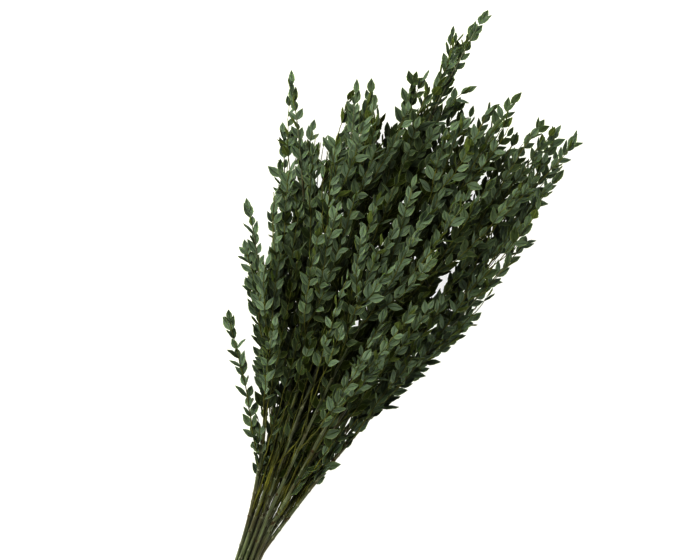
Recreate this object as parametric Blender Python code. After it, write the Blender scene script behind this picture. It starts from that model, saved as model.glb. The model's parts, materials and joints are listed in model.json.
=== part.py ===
"""Small-leaved gum: a bunch of dried leafy stems, held by a band near the cut ends, lying on a table.

Metres, +Z up. +Y runs from the cut ends to the tips, +X is to the right seen from above, and the
table is the plane z = 0. Each leafy stem is one object: a woody stem, side shoots and leaves.
"""

import math

import bmesh
import bpy
import numpy as np
from mathutils.bvhtree import BVHTree

MM = 0.001
SEED = 5
CLEARANCE = 0.3 * MM
UP = np.array((0.0, 0.0, 1.0))

# The woody stems lie in three rows where they are held, and fan out from there.
STEM_DIAMETER = 4.5 * MM
STEM_DIAMETER_SPREAD = 0.08
STEM_TOP_DIAMETER = 2.0 * MM
STEM_PITCH = STEM_DIAMETER * (1 + STEM_DIAMETER_SPREAD) + CLEARANCE
STEM_SIDES = 6
RINGS_ABOVE_BAND = 8
WOOD_SHARE = 0.8
CUT_END = -60 * MM
HELD_STRETCH = 5 * MM
SPLAY_BELOW_BAND = 0.2
BEND_FROM_ON_RIGHT = 35 * MM
RIGHT_SIDE_FROM = 60 * MM
BEND_UP = 1.15
RING_SPACING_GROWTH = 1.3

# Each stem's tip in mm, across, along and above the table, and how late it bends out to it:
# 1 is a straight line, and more leaves the bend to the stem's end.
BOTTOM_ROW = ((-119, 459, 30, 1.75), (-48, 529, 26, 3), (77, 554, 30, 1.12), (168, 552, 34, 1.12))
MIDDLE_ROW = ((-124, 372, 68, 2.05), (-125, 503, 88, 2.4), (-8, 550, 80, 3.5), (127, 548, 84, 1.12),
              (157, 437, 66, 1.12))
TOP_ROW = ((-59, 514, 124, 2.8), (36, 627, 112, 2.6), (48, 420, 150, 1.9), (90, 557, 126, 1.12))
ROWS = (BOTTOM_ROW, MIDDLE_ROW, TOP_ROW)

# The side shoots.
SHOOTS_PER_STEM = 7
TRIES_PER_SHOOT = 20
FIRST_SHOOT = 105 * MM
LAST_SHOOT_SHARE = 0.78
LONGEST_SHOOT = 185 * MM
SHORTEST_SHOOT = 70 * MM
SHOOT_REACH_SHARES = (0.75, 1.05)
SHOOT_DIAMETER = 1.6 * MM
SHOOT_TIP_SHARE = 0.7
SHOOT_ANGLE = math.radians(34)
SHOOT_STEPS = 14
SHOOT_TURN_OUT = 0.17
SHOOT_PAIR_SHIFT = 0.3
SHOOT_ROOT = 12 * MM
LEADER_OVERLAP = 5 * MM
FAN_POINT = np.array((0, -90, 0)) * MM
TWIG_SIDES = 4
ROOM_WANTED = 30 * MM
SHOOT_GAP = 1.2 * MM
SAMPLE_STEP = 4 * MM
LOWEST_TWIG = 3.2 * MM
HIGHEST_TWIG = 168 * MM

# One shoot stands away from the others, low on the left side: the number of its stem, how far up
# the stem it leaves, its tip in mm, and how far its middle bows to the right.
LOW_SHOOT_STEM = 4
LOW_SHOOT_FROM = 118 * MM
LOW_SHOOT_TIP = (-100, 254, 58)
LOW_SHOOT_BOW = 3 * MM

# The bunch's outline from above, up its left side, over its peaks and down its right side: across
# and along, in mm, measured from the band.
OUTLINE = ((-14, 90), (-25, 140), (-49, 204), (-61, 237), (-79, 272), (-97, 298), (-114, 334),
           (-127, 374), (-102, 338), (-88, 322), (-88, 344), (-99, 381), (-111, 415), (-122, 450),
           (-117, 470), (-121, 481), (-133, 510), (-101, 486), (-87, 474), (-75, 472), (-59, 452),
           (-65, 494), (-64, 518), (-50, 515), (-48, 530), (-31, 511), (-18, 500), (-9, 502),
           (-8, 553), (8, 553), (8, 600), (10, 612), (18, 606), (37, 633), (28, 586), (30, 552),
           (48, 560), (52, 545), (76, 552), (86, 550), (92, 565), (98, 540), (110, 532), (128, 551),
           (145, 553), (152, 538), (166, 550), (167, 507), (153, 470), (157, 437), (143, 400),
           (137, 335), (84, 250), (60, 185), (42, 134), (25, 90))

# The leaves sit in opposite pairs, each pair a quarter turn from the last. The edges are shares of
# a leaf's length and width.
LEAF_LENGTH = 16.5 * MM
LEAF_WIDTH = 8.6 * MM
LEAF_SIZE_SPREAD = 0.12
LEAF_LOW_EDGE = (0.3, 0.48)
LEAF_HIGH_EDGE = (0.66, 0.4)
LEAF_KEEL_AT = 0.45
LEAF_KEEL = 0.8 * MM
LEAF_CUP = 0.3 * MM
LEAF_DROOP = 0.8 * MM
LEAF_ANGLE = math.radians(46)
LEAF_ANGLE_SPREAD = 0.15
LEAF_TWIST = math.radians(25)
TURN_TO_LIGHT = 0.6
MOST_TWIST = math.radians(55)
LEAF_FOOT = 2.4 * MM
BARE_SHARE = 0.12
PAIRS_PER_SHOOT = 3
# Ways to fit a leaf between its neighbours: shares of its angle, twist and size.
LEAF_TRIES = ((1, 1, 1), (0.8, 0.5, 1), (1.25, 0.7, 1), (1, -0.6, 0.95), (1.3, 0, 0.85), (0.8, 0, 0.75))

# The elastic band is wound round the stems three times, side by side.
BAND_TURNS = 3
BAND_THICKNESS = 1.5 * MM
BAND_WIDTH = 3.0 * MM
BAND_EDGE = 0.4 * MM
BAND_ARC_POINTS = 3

SHARP_ANGLE = math.radians(40)
LEAF_COLOUR = (0.047, 0.064, 0.027, 1)
BAND_COLOUR = (0.32, 0.22, 0.12, 1)


def unit(vector):
    return vector / np.linalg.norm(vector)


def distances_along(route):
    steps = np.linalg.norm(np.diff(route, axis=0), axis=1)
    return np.concatenate([[0], np.cumsum(steps)])


def points_at(route, distances):
    reached = distances_along(route)
    return np.stack([np.interp(distances, reached, route[:, axis]) for axis in range(3)], axis=1)


def sampled(route, radius, owner):
    """Points along a route for the distance test, each with the radius there and its stem's number."""
    points = points_at(route, np.arange(0, distances_along(route)[-1], SAMPLE_STEP))
    return np.column_stack([points, np.full(len(points), radius), np.full(len(points), owner)])


def stem_places():
    """Each stem's place in the band, across and up, and its tip. The bottom row comes first."""
    places = []
    lowest = BAND_THICKNESS + STEM_PITCH - STEM_DIAMETER / 2
    for number, row in enumerate(ROWS):
        height = lowest + number * STEM_PITCH * math.sqrt(3) / 2
        for column, tip in enumerate(row):
            across = (column - (len(row) - 1) / 2) * STEM_PITCH
            places.append((across, height, np.array(tip) * (MM, MM, MM, 1)))
    return places


def stem_route(across, height, tip, count=40):
    """Points up the middle of one woody stem. On the right they stay together for longer."""
    bend_from = BEND_FROM_ON_RIGHT if tip[0] > RIGHT_SIDE_FROM else HELD_STRETCH
    points = []
    for along in np.concatenate([[CUT_END, -HELD_STRETCH], np.linspace(HELD_STRETCH, tip[1], count)]):
        below = max((along + HELD_STRETCH) / (CUT_END + HELD_STRETCH), 0)
        rise = max((along - HELD_STRETCH) / (tip[1] - HELD_STRETCH), 0)
        bend = max((along - bend_from) / (tip[1] - bend_from), 0) ** tip[3]
        x = across * (1 + SPLAY_BELOW_BAND * below) + (tip[0] - across) * bend
        z = height - BAND_THICKNESS * below + (tip[2] - height) * rise ** BEND_UP
        points.append((x, along, z))
    return np.array(points)


def twig_rings(route, first, last, shift):
    """The middles of a twig's rings: its root, each pair of leaves, and its end."""
    bare = first + BARE_SHARE * (last - first)
    pairs = bare + (last - bare) * (np.arange(PAIRS_PER_SHOOT) + 0.5 + shift) / PAIRS_PER_SHOOT
    return points_at(route, np.concatenate([[first], pairs, [last]]))


def inside_outline(point):
    """Whether a point lies inside the bunch's outline: a line to one side of it crosses an edge more."""
    inside = False
    for (x1, y1), (x2, y2) in zip(OUTLINE, OUTLINE[1:] + OUTLINE[:1]):
        x, y = point[0] / MM, point[1] / MM
        if (y1 > y) != (y2 > y) and x < x1 + (x2 - x1) * (y - y1) / (y2 - y1):
            inside = not inside
    return inside


def shoot_route(start, heading, sideways, length):
    """A shoot leaves its stem at an angle, then bends until it follows the fan of the bunch."""
    points = [start]
    direction = math.cos(SHOOT_ANGLE) * heading + math.sin(SHOOT_ANGLE) * sideways
    for _ in range(SHOOT_STEPS):
        outwards = unit(points[-1] - FAN_POINT)
        direction = unit(direction + outwards * SHOOT_TURN_OUT)
        point = points[-1] + direction * length / SHOOT_STEPS
        if point[2] < LOWEST_TWIG:
            point[2] = LOWEST_TWIG
            direction = unit(direction * (1, 1, 0))
        if not inside_outline(point + direction * LEAF_LENGTH) or point[2] > HIGHEST_TWIG:
            break
        points.append(point)
    return np.array(points)


def room_round(rings, owner, others):
    """The mean free distance beside a shoot, or None where it would touch something."""
    samples = sampled(rings, SHOOT_DIAMETER / 2, owner)
    gaps = np.linalg.norm(samples[:, None, :3] - others[None, :, :3], axis=2) - others[None, :, 3]
    near_root = np.arange(len(samples)) * SAMPLE_STEP < SHOOT_ROOT
    gaps[np.ix_(near_root, others[:, 4] == owner)] = ROOM_WANTED
    nearest = gaps.min(axis=1)
    if nearest.min() < SHOOT_DIAMETER / 2 + SHOOT_GAP:
        return None
    return np.minimum(nearest, ROOM_WANTED).mean()


def sideways_from(heading, turn):
    """A direction square to a heading, turned about it."""
    level = unit(np.cross(heading, UP))
    return math.cos(turn) * level + math.sin(turn) * np.cross(heading, level)


def roomiest_shoot(route, owner, place, taken, rng):
    """The best of several random shoots in one part of a stem."""
    top = distances_along(route)[-1]
    first, last = FIRST_SHOOT - CUT_END, top * LAST_SHOOT_SHARE
    best, most_room = None, 0
    for _ in range(TRIES_PER_SHOOT):
        start_at = first + (last - first) * (place + rng.uniform()) / SHOOTS_PER_STEM
        length = min(LONGEST_SHOOT, (top - start_at) * rng.uniform(*SHOOT_REACH_SHARES))
        start, beyond = points_at(route, [start_at, start_at + SHOOT_ROOT])
        heading = unit(beyond - start)
        shoot = shoot_route(start, heading, sideways_from(heading, rng.uniform(0, 2 * math.pi)), length)
        grown = distances_along(shoot)[-1]
        if grown < SHORTEST_SHOOT:
            continue
        rings = twig_rings(shoot, 0, grown, rng.uniform(-1, 1) * SHOOT_PAIR_SHIFT)
        room = room_round(rings, owner, taken)
        if room and room > most_room:
            best, most_room = rings, room
    return best


def low_shoot(route):
    """The middle of the shoot that stands away: a plain bow from its stem to its own tip."""
    start = points_at(route, [LOW_SHOOT_FROM - CUT_END])[0]
    tip = np.array(LOW_SHOOT_TIP) * MM
    rise = np.linspace(0, 1, SHOOT_STEPS + 1)[:, None]
    bow = np.array((1, 0, 0)) * LOW_SHOOT_BOW * np.sin(rise * math.pi)
    return start + (tip - start) * rise + bow


def grow_skeleton():
    """The middles of the rings of every woody stem and of its twigs, the leader first."""
    rng = np.random.default_rng(SEED)
    stems = []
    for number, (across, height, tip) in enumerate(stem_places()):
        route = stem_route(across, height, tip)
        top = distances_along(route)[-1] - LEAF_LENGTH
        held_from, held_to = -CUT_END - HELD_STRETCH, -CUT_END + HELD_STRETCH
        above_band = np.linspace(0, 1, RINGS_ABOVE_BAND) ** RING_SPACING_GROWTH
        marks = np.concatenate([[0, held_from], held_to + (top * WOOD_SHARE - held_to) * above_band])
        wood = points_at(route, marks)
        shift = rng.uniform(-1, 1) * SHOOT_PAIR_SHIFT
        leader = twig_rings(route, top * WOOD_SHARE - LEADER_OVERLAP, top, shift)
        radius = STEM_DIAMETER / 2 * (1 + STEM_DIAMETER_SPREAD * rng.uniform(-1, 1))
        stems.append({"number": number, "wood": wood, "radius": radius, "twigs": [leader]})
    shoot = low_shoot(stems[LOW_SHOOT_STEM]["wood"])
    stems[LOW_SHOOT_STEM]["twigs"].append(twig_rings(shoot, 0, distances_along(shoot)[-1], 0))
    taken = [sampled(stem["wood"], stem["radius"], stem["number"]) for stem in stems]
    taken += [sampled(twig, SHOOT_DIAMETER / 2, stem["number"]) for stem in stems for twig in stem["twigs"]]
    for place in range(SHOOTS_PER_STEM):
        for stem in stems:
            whole = np.concatenate([stem["wood"], stem["twigs"][0][1:]])
            shoot = roomiest_shoot(whole, stem["number"], place, np.concatenate(taken), rng)
            if shoot is not None:
                stem["twigs"].append(shoot)
                taken.append(sampled(shoot, SHOOT_DIAMETER / 2, stem["number"]))
    return stems


def tube_corners(centres, radii, sides):
    """The corners of a tube, by ring and side. Its rings turn as little as they can."""
    angles = (np.arange(sides) + 0.5) * 2 * math.pi / sides
    headings = [unit(step) for step in np.gradient(centres, axis=0)]
    across = unit(np.cross(headings[0], UP))
    rings = []
    for centre, radius, heading in zip(centres, radii, headings):
        across = unit(across - heading * np.dot(across, heading))
        other = np.cross(heading, across)
        rings.append([centre + radius * (math.cos(a) * across + math.sin(a) * other) for a in angles])
    return np.array(rings)


def tube_faces(rings, sides):
    """The side faces of a tube whose corners are numbered ring by ring, and its two ends."""
    faces = []
    for ring in range(rings - 1):
        low, high = ring * sides, (ring + 1) * sides
        for side in range(sides):
            after = (side + 1) % sides
            faces.append((low + side, low + after, high + after, high + side))
    faces.append(tuple(range(sides))[::-1])
    faces.append(tuple(range((rings - 1) * sides, rings * sides)))
    return faces


class Surroundings:
    """What is already in place, so that a new leaf can be bent clear of it."""

    def __init__(self):
        self.trees = []
        self.lows = np.empty((0, 3))
        self.highs = np.empty((0, 3))

    def add(self, points, faces):
        points = np.asarray(points).reshape(-1, 3)
        self.trees.append(BVHTree.FromPolygons(points.tolist(), faces))
        self.lows = np.vstack([self.lows, points.min(axis=0)])
        self.highs = np.vstack([self.highs, points.max(axis=0)])

    def touches(self, points, faces, own=None):
        points = np.asarray(points)
        apart = (self.lows > points.max(axis=0)) | (self.highs < points.min(axis=0))
        near = [number for number in np.flatnonzero(~apart.any(axis=1)) if number != own]
        if not near:
            return False
        tree = BVHTree.FromPolygons(points.tolist(), faces)
        return any(tree.overlap(self.trees[number]) for number in near)


def leaf_corners(foot, along, across, normal, length, width):
    """The free corners of a blade: two on each edge, its tip, and the keel of the midrib below."""
    low = foot + along * length * LEAF_LOW_EDGE[0] + normal * LEAF_CUP
    high = foot + along * length * LEAF_HIGH_EDGE[0] + normal * LEAF_CUP
    return {
        "left_low": low - across * width * LEAF_LOW_EDGE[1],
        "right_low": low + across * width * LEAF_LOW_EDGE[1],
        "left_high": high - across * width * LEAF_HIGH_EDGE[1],
        "right_high": high + across * width * LEAF_HIGH_EDGE[1],
        "tip": foot + along * length - normal * LEAF_DROOP,
        "keel": foot + along * length * LEAF_KEEL_AT - normal * LEAF_KEEL,
    }


def leaf_blade_faces(corner):
    """The faces of a blade beyond its foot."""
    return (
        (corner["left_low"], corner["left_high"], corner["right_high"], corner["right_low"]),
        (corner["left_high"], corner["tip"], corner["right_high"]),
        (corner["left_low"], corner["keel"], corner["left_high"]),
        (corner["right_low"], corner["right_high"], corner["keel"]),
        (corner["left_high"], corner["keel"], corner["tip"]),
        (corner["right_high"], corner["tip"], corner["keel"]),
    )


# A leaf's outline from its foot up its left edge and down its right, with points under and over it.
GUARD_RIM = 6
GUARD_UNDER, GUARD_OVER = GUARD_RIM, GUARD_RIM + 1
GUARD_FACES = [(n, (n + 1) % GUARD_RIM, GUARD_OVER) for n in range(GUARD_RIM)]
GUARD_FACES += [((n + 1) % GUARD_RIM, n, GUARD_UNDER) for n in range(GUARD_RIM)]


def leaf_guard(foot, corner, normal, margin):
    """A closed shape round a leaf, larger than it by a margin."""
    middle = foot + (corner["tip"] - foot) * 0.5
    names = ("left_low", "left_high", "tip", "right_high", "right_low")
    rim = [foot] + [corner[name] + unit(corner[name] - middle) * margin for name in names]
    return np.array(rim + [corner["keel"] - normal * margin, middle + normal * (LEAF_CUP + 2 * margin)])


def leaf_directions(heading, outwards, angle, twist):
    """A leaf's own directions: along it, across it and out of its upper face."""
    along = math.cos(angle) * heading + math.sin(angle) * outwards
    across = np.cross(heading, outwards)
    normal = math.sin(angle) * heading - math.cos(angle) * outwards
    turned = math.cos(twist) * across - math.sin(twist) * normal
    return along, turned, math.cos(twist) * normal + math.sin(twist) * across


def twist_to_light(heading, outwards, angle):
    """How far a leaf would turn about its own length to bring its upper face towards the light."""
    _, across, normal = leaf_directions(heading, outwards, angle, 0)
    return math.atan2(np.dot(UP, across), np.dot(UP, normal))


def laid_on_table(foot, along, length):
    """The directions of a leaf that lies along the table, with its tip on it."""
    flat = unit(along * (1, 1, 0))
    down = unit(flat * math.sqrt(max(length ** 2 - foot[2] ** 2, 0)) - UP * foot[2])
    across = unit(np.cross(UP, down))
    return down, across, np.cross(down, across)


def fit_leaf(foot, heading, outwards, draw, surroundings, own):
    """The corners of a leaf that clears its surroundings, or None where no leaf would."""
    for angle_share, twist_share, size in LEAF_TRIES:
        size *= 1 + LEAF_SIZE_SPREAD * draw[0]
        length, width = LEAF_LENGTH * size, LEAF_WIDTH * size
        angle = LEAF_ANGLE * angle_share * (1 + LEAF_ANGLE_SPREAD * draw[1])
        twist = TURN_TO_LIGHT * twist_to_light(heading, outwards, angle) + LEAF_TWIST * draw[2]
        twist = np.clip(twist * twist_share, -MOST_TWIST, MOST_TWIST)
        directions = leaf_directions(heading, outwards, angle, twist)
        corner = leaf_corners(foot, *directions, length, width)
        if min(point[2] for point in corner.values()) < 0:
            directions = laid_on_table(foot, directions[0], length)
            corner = leaf_corners(foot, *directions, length, width)
            corner["tip"][2] = 0
        clear_of_twig = min(np.dot(corner[name] - foot, outwards)
                            for name in ("left_low", "right_low", "keel"))
        lowest = min(point[2] for point in corner.values())
        if clear_of_twig < CLEARANCE / 2 or lowest < 0:
            continue
        guard = leaf_guard(foot, corner, directions[2], CLEARANCE)
        if not surroundings.touches(guard, GUARD_FACES, own):
            surroundings.add(leaf_guard(foot, corner, directions[2], 0), GUARD_FACES)
            return corner
    return None


def grow_leaf(mesh, side, foot_top, corner):
    """Adds a leaf to one side of a twig: the side, the leaf's foot in it, and the blade."""
    low_left, low_right, high_right, high_left = side
    top = mesh.verts.new(foot_top)
    corner = {name: mesh.verts.new(point) for name, point in corner.items()}
    left, right, keel = corner["left_low"], corner["right_low"], corner["keel"]
    faces = (
        (low_left, top, high_left), (low_right, high_right, top), (top, high_right, high_left),
        (top, left, right), (low_left, left, top), (low_right, top, right),
        (low_left, low_right, keel), (low_left, keel, left), (low_right, right, keel),
    )
    for face in faces + leaf_blade_faces(corner):
        mesh.faces.new(face)


def grow_tip_leaf(mesh, ring, upper_side, corner):
    """Adds the leaf that ends a twig. The ring's upper side runs into the leaf's upper face."""
    up_right, up_left, low_left, low_right = (ring[(upper_side + n) % TWIG_SIDES] for n in range(4))
    corner = {name: mesh.verts.new(point) for name, point in corner.items()}
    left, right, keel = corner["left_low"], corner["right_low"], corner["keel"]
    faces = (
        (up_left, left, right, up_right), (up_left, low_left, left), (low_left, keel, left),
        (low_left, low_right, keel), (low_right, right, keel), (low_right, up_right, right),
    )
    for face in faces + leaf_blade_faces(corner):
        mesh.faces.new(face)


def fit_tip_leaf(centre, heading, corners, draw, surroundings, own):
    """The corners of a twig's end leaf and the side of the twig that it lies level with."""
    sides = [unit((corners[n] + corners[(n + 1) % TWIG_SIDES]) / 2 - centre) for n in range(TWIG_SIDES)]
    upper_side = int(np.argmax([side[2] for side in sides]))
    normal = unit(sides[upper_side] - heading * np.dot(sides[upper_side], heading))
    for _, _, size in LEAF_TRIES:
        size *= 1 + LEAF_SIZE_SPREAD * draw[0]
        across = np.cross(normal, heading)
        corner = leaf_corners(centre, heading, across, normal, LEAF_LENGTH * size, LEAF_WIDTH * size)
        guard = leaf_guard(centre, corner, normal, CLEARANCE)
        if guard[:, 2].min() > 0 and not surroundings.touches(guard, GUARD_FACES, own):
            surroundings.add(leaf_guard(centre, corner, normal, 0), GUARD_FACES)
            return upper_side, corner
    return upper_side, None


def grow_twig(name, centres, corners, rng, surroundings, own):
    """One twig with its leaves, in one skin. A pair of leaves grows from two facing sides."""
    mesh = bmesh.new()
    rings = [[mesh.verts.new(point) for point in ring] for ring in corners]
    leaves = 0
    for number, (low, high) in enumerate(zip(rings, rings[1:])):
        step = centres[number + 1] - centres[number]
        heading = unit(step)
        for side in range(TWIG_SIDES):
            after = (side + 1) % TWIG_SIDES
            quad = (low[side], low[after], high[after], high[side])
            corner = None
            if number > 0 and side % 2 == number % 2:
                low_middle = (corners[number][side] + corners[number][after]) / 2
                high_middle = (corners[number + 1][side] + corners[number + 1][after]) / 2
                outwards = low_middle - centres[number]
                outwards = unit(outwards - heading * np.dot(outwards, heading))
                draw = rng.uniform(-1, 1, 3)
                corner = fit_leaf(low_middle, heading, outwards, draw, surroundings, own)
            if corner is None:
                mesh.faces.new(quad)
            else:
                share = LEAF_FOOT / np.linalg.norm(step)
                grow_leaf(mesh, quad, low_middle + (high_middle - low_middle) * share, corner)
                leaves += 1
    draw = rng.uniform(-1, 1, 3)
    upper_side, corner = fit_tip_leaf(centres[-1], heading, corners[-1], draw, surroundings, own)
    if corner is None:
        mesh.faces.new(rings[-1])
    else:
        grow_tip_leaf(mesh, rings[-1], upper_side, corner)
        leaves += 1
    mesh.faces.new(rings[0][::-1])
    return object_from(mesh, name), leaves


def object_from(mesh, name):
    data = bpy.data.meshes.new(name)
    mesh.to_mesh(data)
    mesh.free()
    made = bpy.data.objects.new(name, data)
    bpy.context.scene.collection.objects.link(made)
    return made


def object_from_tube(name, corners):
    mesh = bmesh.new()
    vertices = [mesh.verts.new(point) for point in corners.reshape(-1, 3)]
    for face in tube_faces(*corners.shape[:2]):
        mesh.faces.new([vertices[number] for number in face])
    return object_from(mesh, name)


def fuse(body, pieces):
    """Joins the pieces to the body in one skin, and removes them."""
    group = bpy.data.collections.new("pieces")
    bpy.context.scene.collection.children.link(group)
    for piece in pieces:
        group.objects.link(piece)
    union = body.modifiers.new("union", "BOOLEAN")
    union.operation = "UNION"
    union.operand_type = "COLLECTION"
    union.collection = group
    union.solver = "MANIFOLD"
    bpy.context.view_layer.objects.active = body
    bpy.ops.object.modifier_apply(modifier=union.name)
    for piece in pieces:
        bpy.data.objects.remove(piece)
    bpy.data.collections.remove(group)


def make_leafy_stems():
    """Every leafy stem. All the wood is in place before the first leaf is fitted into it."""
    stems = grow_skeleton()
    surroundings = Surroundings()
    for stem in stems:
        radii = np.linspace(stem["radius"], STEM_TOP_DIAMETER / 2, len(stem["wood"]))
        stem["corners"] = tube_corners(stem["wood"], radii, STEM_SIDES)
        surroundings.add(stem["corners"], tube_faces(len(radii), STEM_SIDES))
    tree = len(surroundings.trees)
    for stem in stems:
        stem["twig_corners"] = []
        for centres in stem["twigs"]:
            radii = SHOOT_DIAMETER / 2 * np.linspace(1, SHOOT_TIP_SHARE, len(centres))
            corners = tube_corners(centres, radii, TWIG_SIDES)
            stem["twig_corners"].append(corners)
            surroundings.add(corners, tube_faces(len(corners), TWIG_SIDES))
    rng = np.random.default_rng(SEED)
    made = []
    for stem in stems:
        name = f"leafy_stem_{stem['number'] + 1:02}"
        body = object_from_tube(name, stem["corners"])
        twigs = []
        leaves = 0
        for centres, corners in zip(stem["twigs"], stem["twig_corners"]):
            twig, count = grow_twig("twig", centres, corners, rng, surroundings, tree)
            twigs.append(twig)
            leaves += count
            tree += 1
        fuse(body, twigs)
        print(name, len(twigs), "twigs,", leaves, "leaves")
        made.append(body)
    return made


def make_band():
    """The band: one closed ring round the stems, its turns side by side, flat where it rests."""
    profile = [(-BAND_TURNS * BAND_WIDTH / 2, 0)]
    for turn in range(BAND_TURNS):
        start = (turn - BAND_TURNS / 2) * BAND_WIDTH
        profile.append((start + BAND_EDGE / 2, BAND_THICKNESS - BAND_EDGE))
        profile.append((start + 2 * BAND_EDGE, BAND_THICKNESS))
        profile.append((start + BAND_WIDTH - 2 * BAND_EDGE, BAND_THICKNESS))
        profile.append((start + BAND_WIDTH - BAND_EDGE / 2, BAND_THICKNESS - BAND_EDGE))
    profile.append((BAND_TURNS * BAND_WIDTH / 2, 0))
    places = stem_places()
    rows = [[place for place in places if abs(place[1] - height) < CLEARANCE]
            for height in sorted({place[1] for place in places})]
    right_side = [row[-1] for row in rows]
    left_side = [row[0] for row in reversed(rows)]
    inner = STEM_PITCH - STEM_DIAMETER / 2
    turn_each = 2 * math.pi / (2 * len(rows))
    rings = []
    for corner, (across, height, _) in enumerate(right_side + left_side):
        for step in range(BAND_ARC_POINTS):
            angle = -math.pi / 2 + turn_each * (corner + step / (BAND_ARC_POINTS - 1))
            rings.append([(across + (inner + out) * math.cos(angle), along,
                           height + (inner + out) * math.sin(angle)) for along, out in profile])
    mesh = bmesh.new()
    rings = [[mesh.verts.new(point) for point in ring] for ring in rings]
    for ring, following in zip(rings, rings[1:] + rings[:1]):
        for n in range(len(profile)):
            after = (n + 1) % len(profile)
            mesh.faces.new((ring[n], ring[after], following[after], following[n]))
    bmesh.ops.recalc_face_normals(mesh, faces=mesh.faces)
    return object_from(mesh, "tie")


def give_material(made, name, colour, roughness):
    material = bpy.data.materials.get(name) or bpy.data.materials.new(name)
    material.use_nodes = True
    shader = material.node_tree.nodes["Principled BSDF"]
    shader.inputs["Base Color"].default_value = colour
    shader.inputs["Roughness"].default_value = roughness
    made.data.materials.clear()
    made.data.materials.append(material)
    made.data.shade_smooth()
    made.data.set_sharp_from_angle(angle=SHARP_ANGLE)


def centre_over_origin(pieces):
    """Moves every mesh so that the bunch's lowest point and the middle of its plan are at the origin."""
    points = np.array([vertex.co for piece in pieces for vertex in piece.data.vertices])
    low, high = points.min(axis=0), points.max(axis=0)
    shift = ((low[0] + high[0]) / 2, (low[1] + high[1]) / 2, low[2])
    for piece in pieces:
        for vertex in piece.data.vertices:
            vertex.co = np.array(vertex.co) - shift
    print("size in mm", np.round((high - low) / MM, 1), "band's middle", np.round(-np.array(shift) / MM, 2))


for leftover in list(bpy.data.objects):
    bpy.data.objects.remove(leftover)
leafy_stems = make_leafy_stems()
band = make_band()
centre_over_origin(leafy_stems + [band])
for leafy_stem in leafy_stems:
    give_material(leafy_stem, "dried gum", LEAF_COLOUR, 0.7)
give_material(band, "rubber", BAND_COLOUR, 0.6)
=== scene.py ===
# %% [markdown]
# # A bunch of dried small-leaved gum
#
# The bunch is thirteen cut stems held by a rubber band, lying on a table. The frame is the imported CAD
# model: fourteen solids at their true size, with a third of the twigs and about one leaf in nine.
# This script grows the same stems and shoots again, in the same places, and gives them what the eye
# looks for: thousands of small waxy leaves, thin curved twigs, streaked bark with leaf scars, and cut
# ends.
#
# All lengths are in metres, and +Y runs from the cut ends to the tips.

# %% Load the CAD frame
import json
import math

import bmesh
import bpy
import numpy as np
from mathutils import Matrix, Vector, kdtree

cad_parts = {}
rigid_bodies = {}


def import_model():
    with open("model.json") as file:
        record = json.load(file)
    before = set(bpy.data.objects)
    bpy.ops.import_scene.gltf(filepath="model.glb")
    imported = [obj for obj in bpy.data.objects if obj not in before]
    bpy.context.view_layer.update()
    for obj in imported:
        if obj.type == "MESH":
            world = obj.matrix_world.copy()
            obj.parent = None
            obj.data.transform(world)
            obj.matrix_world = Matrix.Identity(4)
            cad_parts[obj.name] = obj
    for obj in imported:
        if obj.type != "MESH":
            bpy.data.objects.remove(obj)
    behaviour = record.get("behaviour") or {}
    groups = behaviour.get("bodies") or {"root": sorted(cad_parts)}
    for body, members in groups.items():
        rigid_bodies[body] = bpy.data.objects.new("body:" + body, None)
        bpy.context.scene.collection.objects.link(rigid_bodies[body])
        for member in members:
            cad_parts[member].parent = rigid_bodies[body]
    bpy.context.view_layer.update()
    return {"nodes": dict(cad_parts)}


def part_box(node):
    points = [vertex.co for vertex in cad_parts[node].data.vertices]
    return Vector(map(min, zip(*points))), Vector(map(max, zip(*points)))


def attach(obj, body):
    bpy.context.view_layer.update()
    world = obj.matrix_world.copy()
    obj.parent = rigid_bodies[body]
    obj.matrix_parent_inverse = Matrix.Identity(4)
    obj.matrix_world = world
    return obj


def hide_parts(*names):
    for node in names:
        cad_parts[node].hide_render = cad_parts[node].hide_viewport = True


for leftover in list(bpy.data.objects):
    bpy.data.objects.remove(leftover)
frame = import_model()
bpy.ops.object.select_all(action="DESELECT")
MM = 0.001
UP = np.array((0.0, 0.0, 1.0))

# %% [markdown]
# ## Where the bunch is held
#
# Every length along a stem is counted from the middle of the band, so the band's own CAD solid gives
# the starting point. Reading it from the frame keeps the looks on the CAD, wherever that is centred.

# %% Find the band
band_low, band_high = (np.array(corner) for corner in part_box("tie"))
BAND_MIDDLE = np.array(((band_low[0] + band_high[0]) / 2, (band_low[1] + band_high[1]) / 2, band_low[2]))
print("band's middle on the table, in mm:", np.round(BAND_MIDDLE / MM, 2))

# %% [markdown]
# ## The camera
#
# The photograph looks straight down on the bunch, from far enough away that nothing looks tapered.
# The cut ends are outside the bottom edge, and the bunch leans 20 degrees to the right in the
# picture. So the camera hangs over the middle of the picture and is turned by that angle. A long
# lens two metres above the leaves makes one pixel one millimetre there.

# %% Hang the camera over the bunch
LEAN_IN_PICTURE = math.radians(20)
PICTURE_WIDTH = 700 * MM
PICTURE_MIDDLE = np.array((0.1, 333.1, 0)) * MM
LEAF_HEIGHT = 70 * MM
CAMERA_DISTANCE = 2.0

bpy.ops.object.camera_add(location=BAND_MIDDLE + PICTURE_MIDDLE + UP * (LEAF_HEIGHT + CAMERA_DISTANCE),
                          rotation=(0, 0, LEAN_IN_PICTURE))
camera = bpy.context.object
camera.data.lens = camera.data.sensor_width * CAMERA_DISTANCE / PICTURE_WIDTH
bpy.context.scene.camera = camera
print("lens:", round(camera.data.lens, 1), "mm")

# %% [markdown]
# ## Helpers for colours and materials
#
# Colours are written as the sRGB hex values that a paint program shows. Blender's shaders count in
# linear light, so one function turns them. Another adds a node: each input is given a number or a
# colour, or the output of another node, which is then linked. The last one gives a surface its colour
# and its fine relief.

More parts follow.
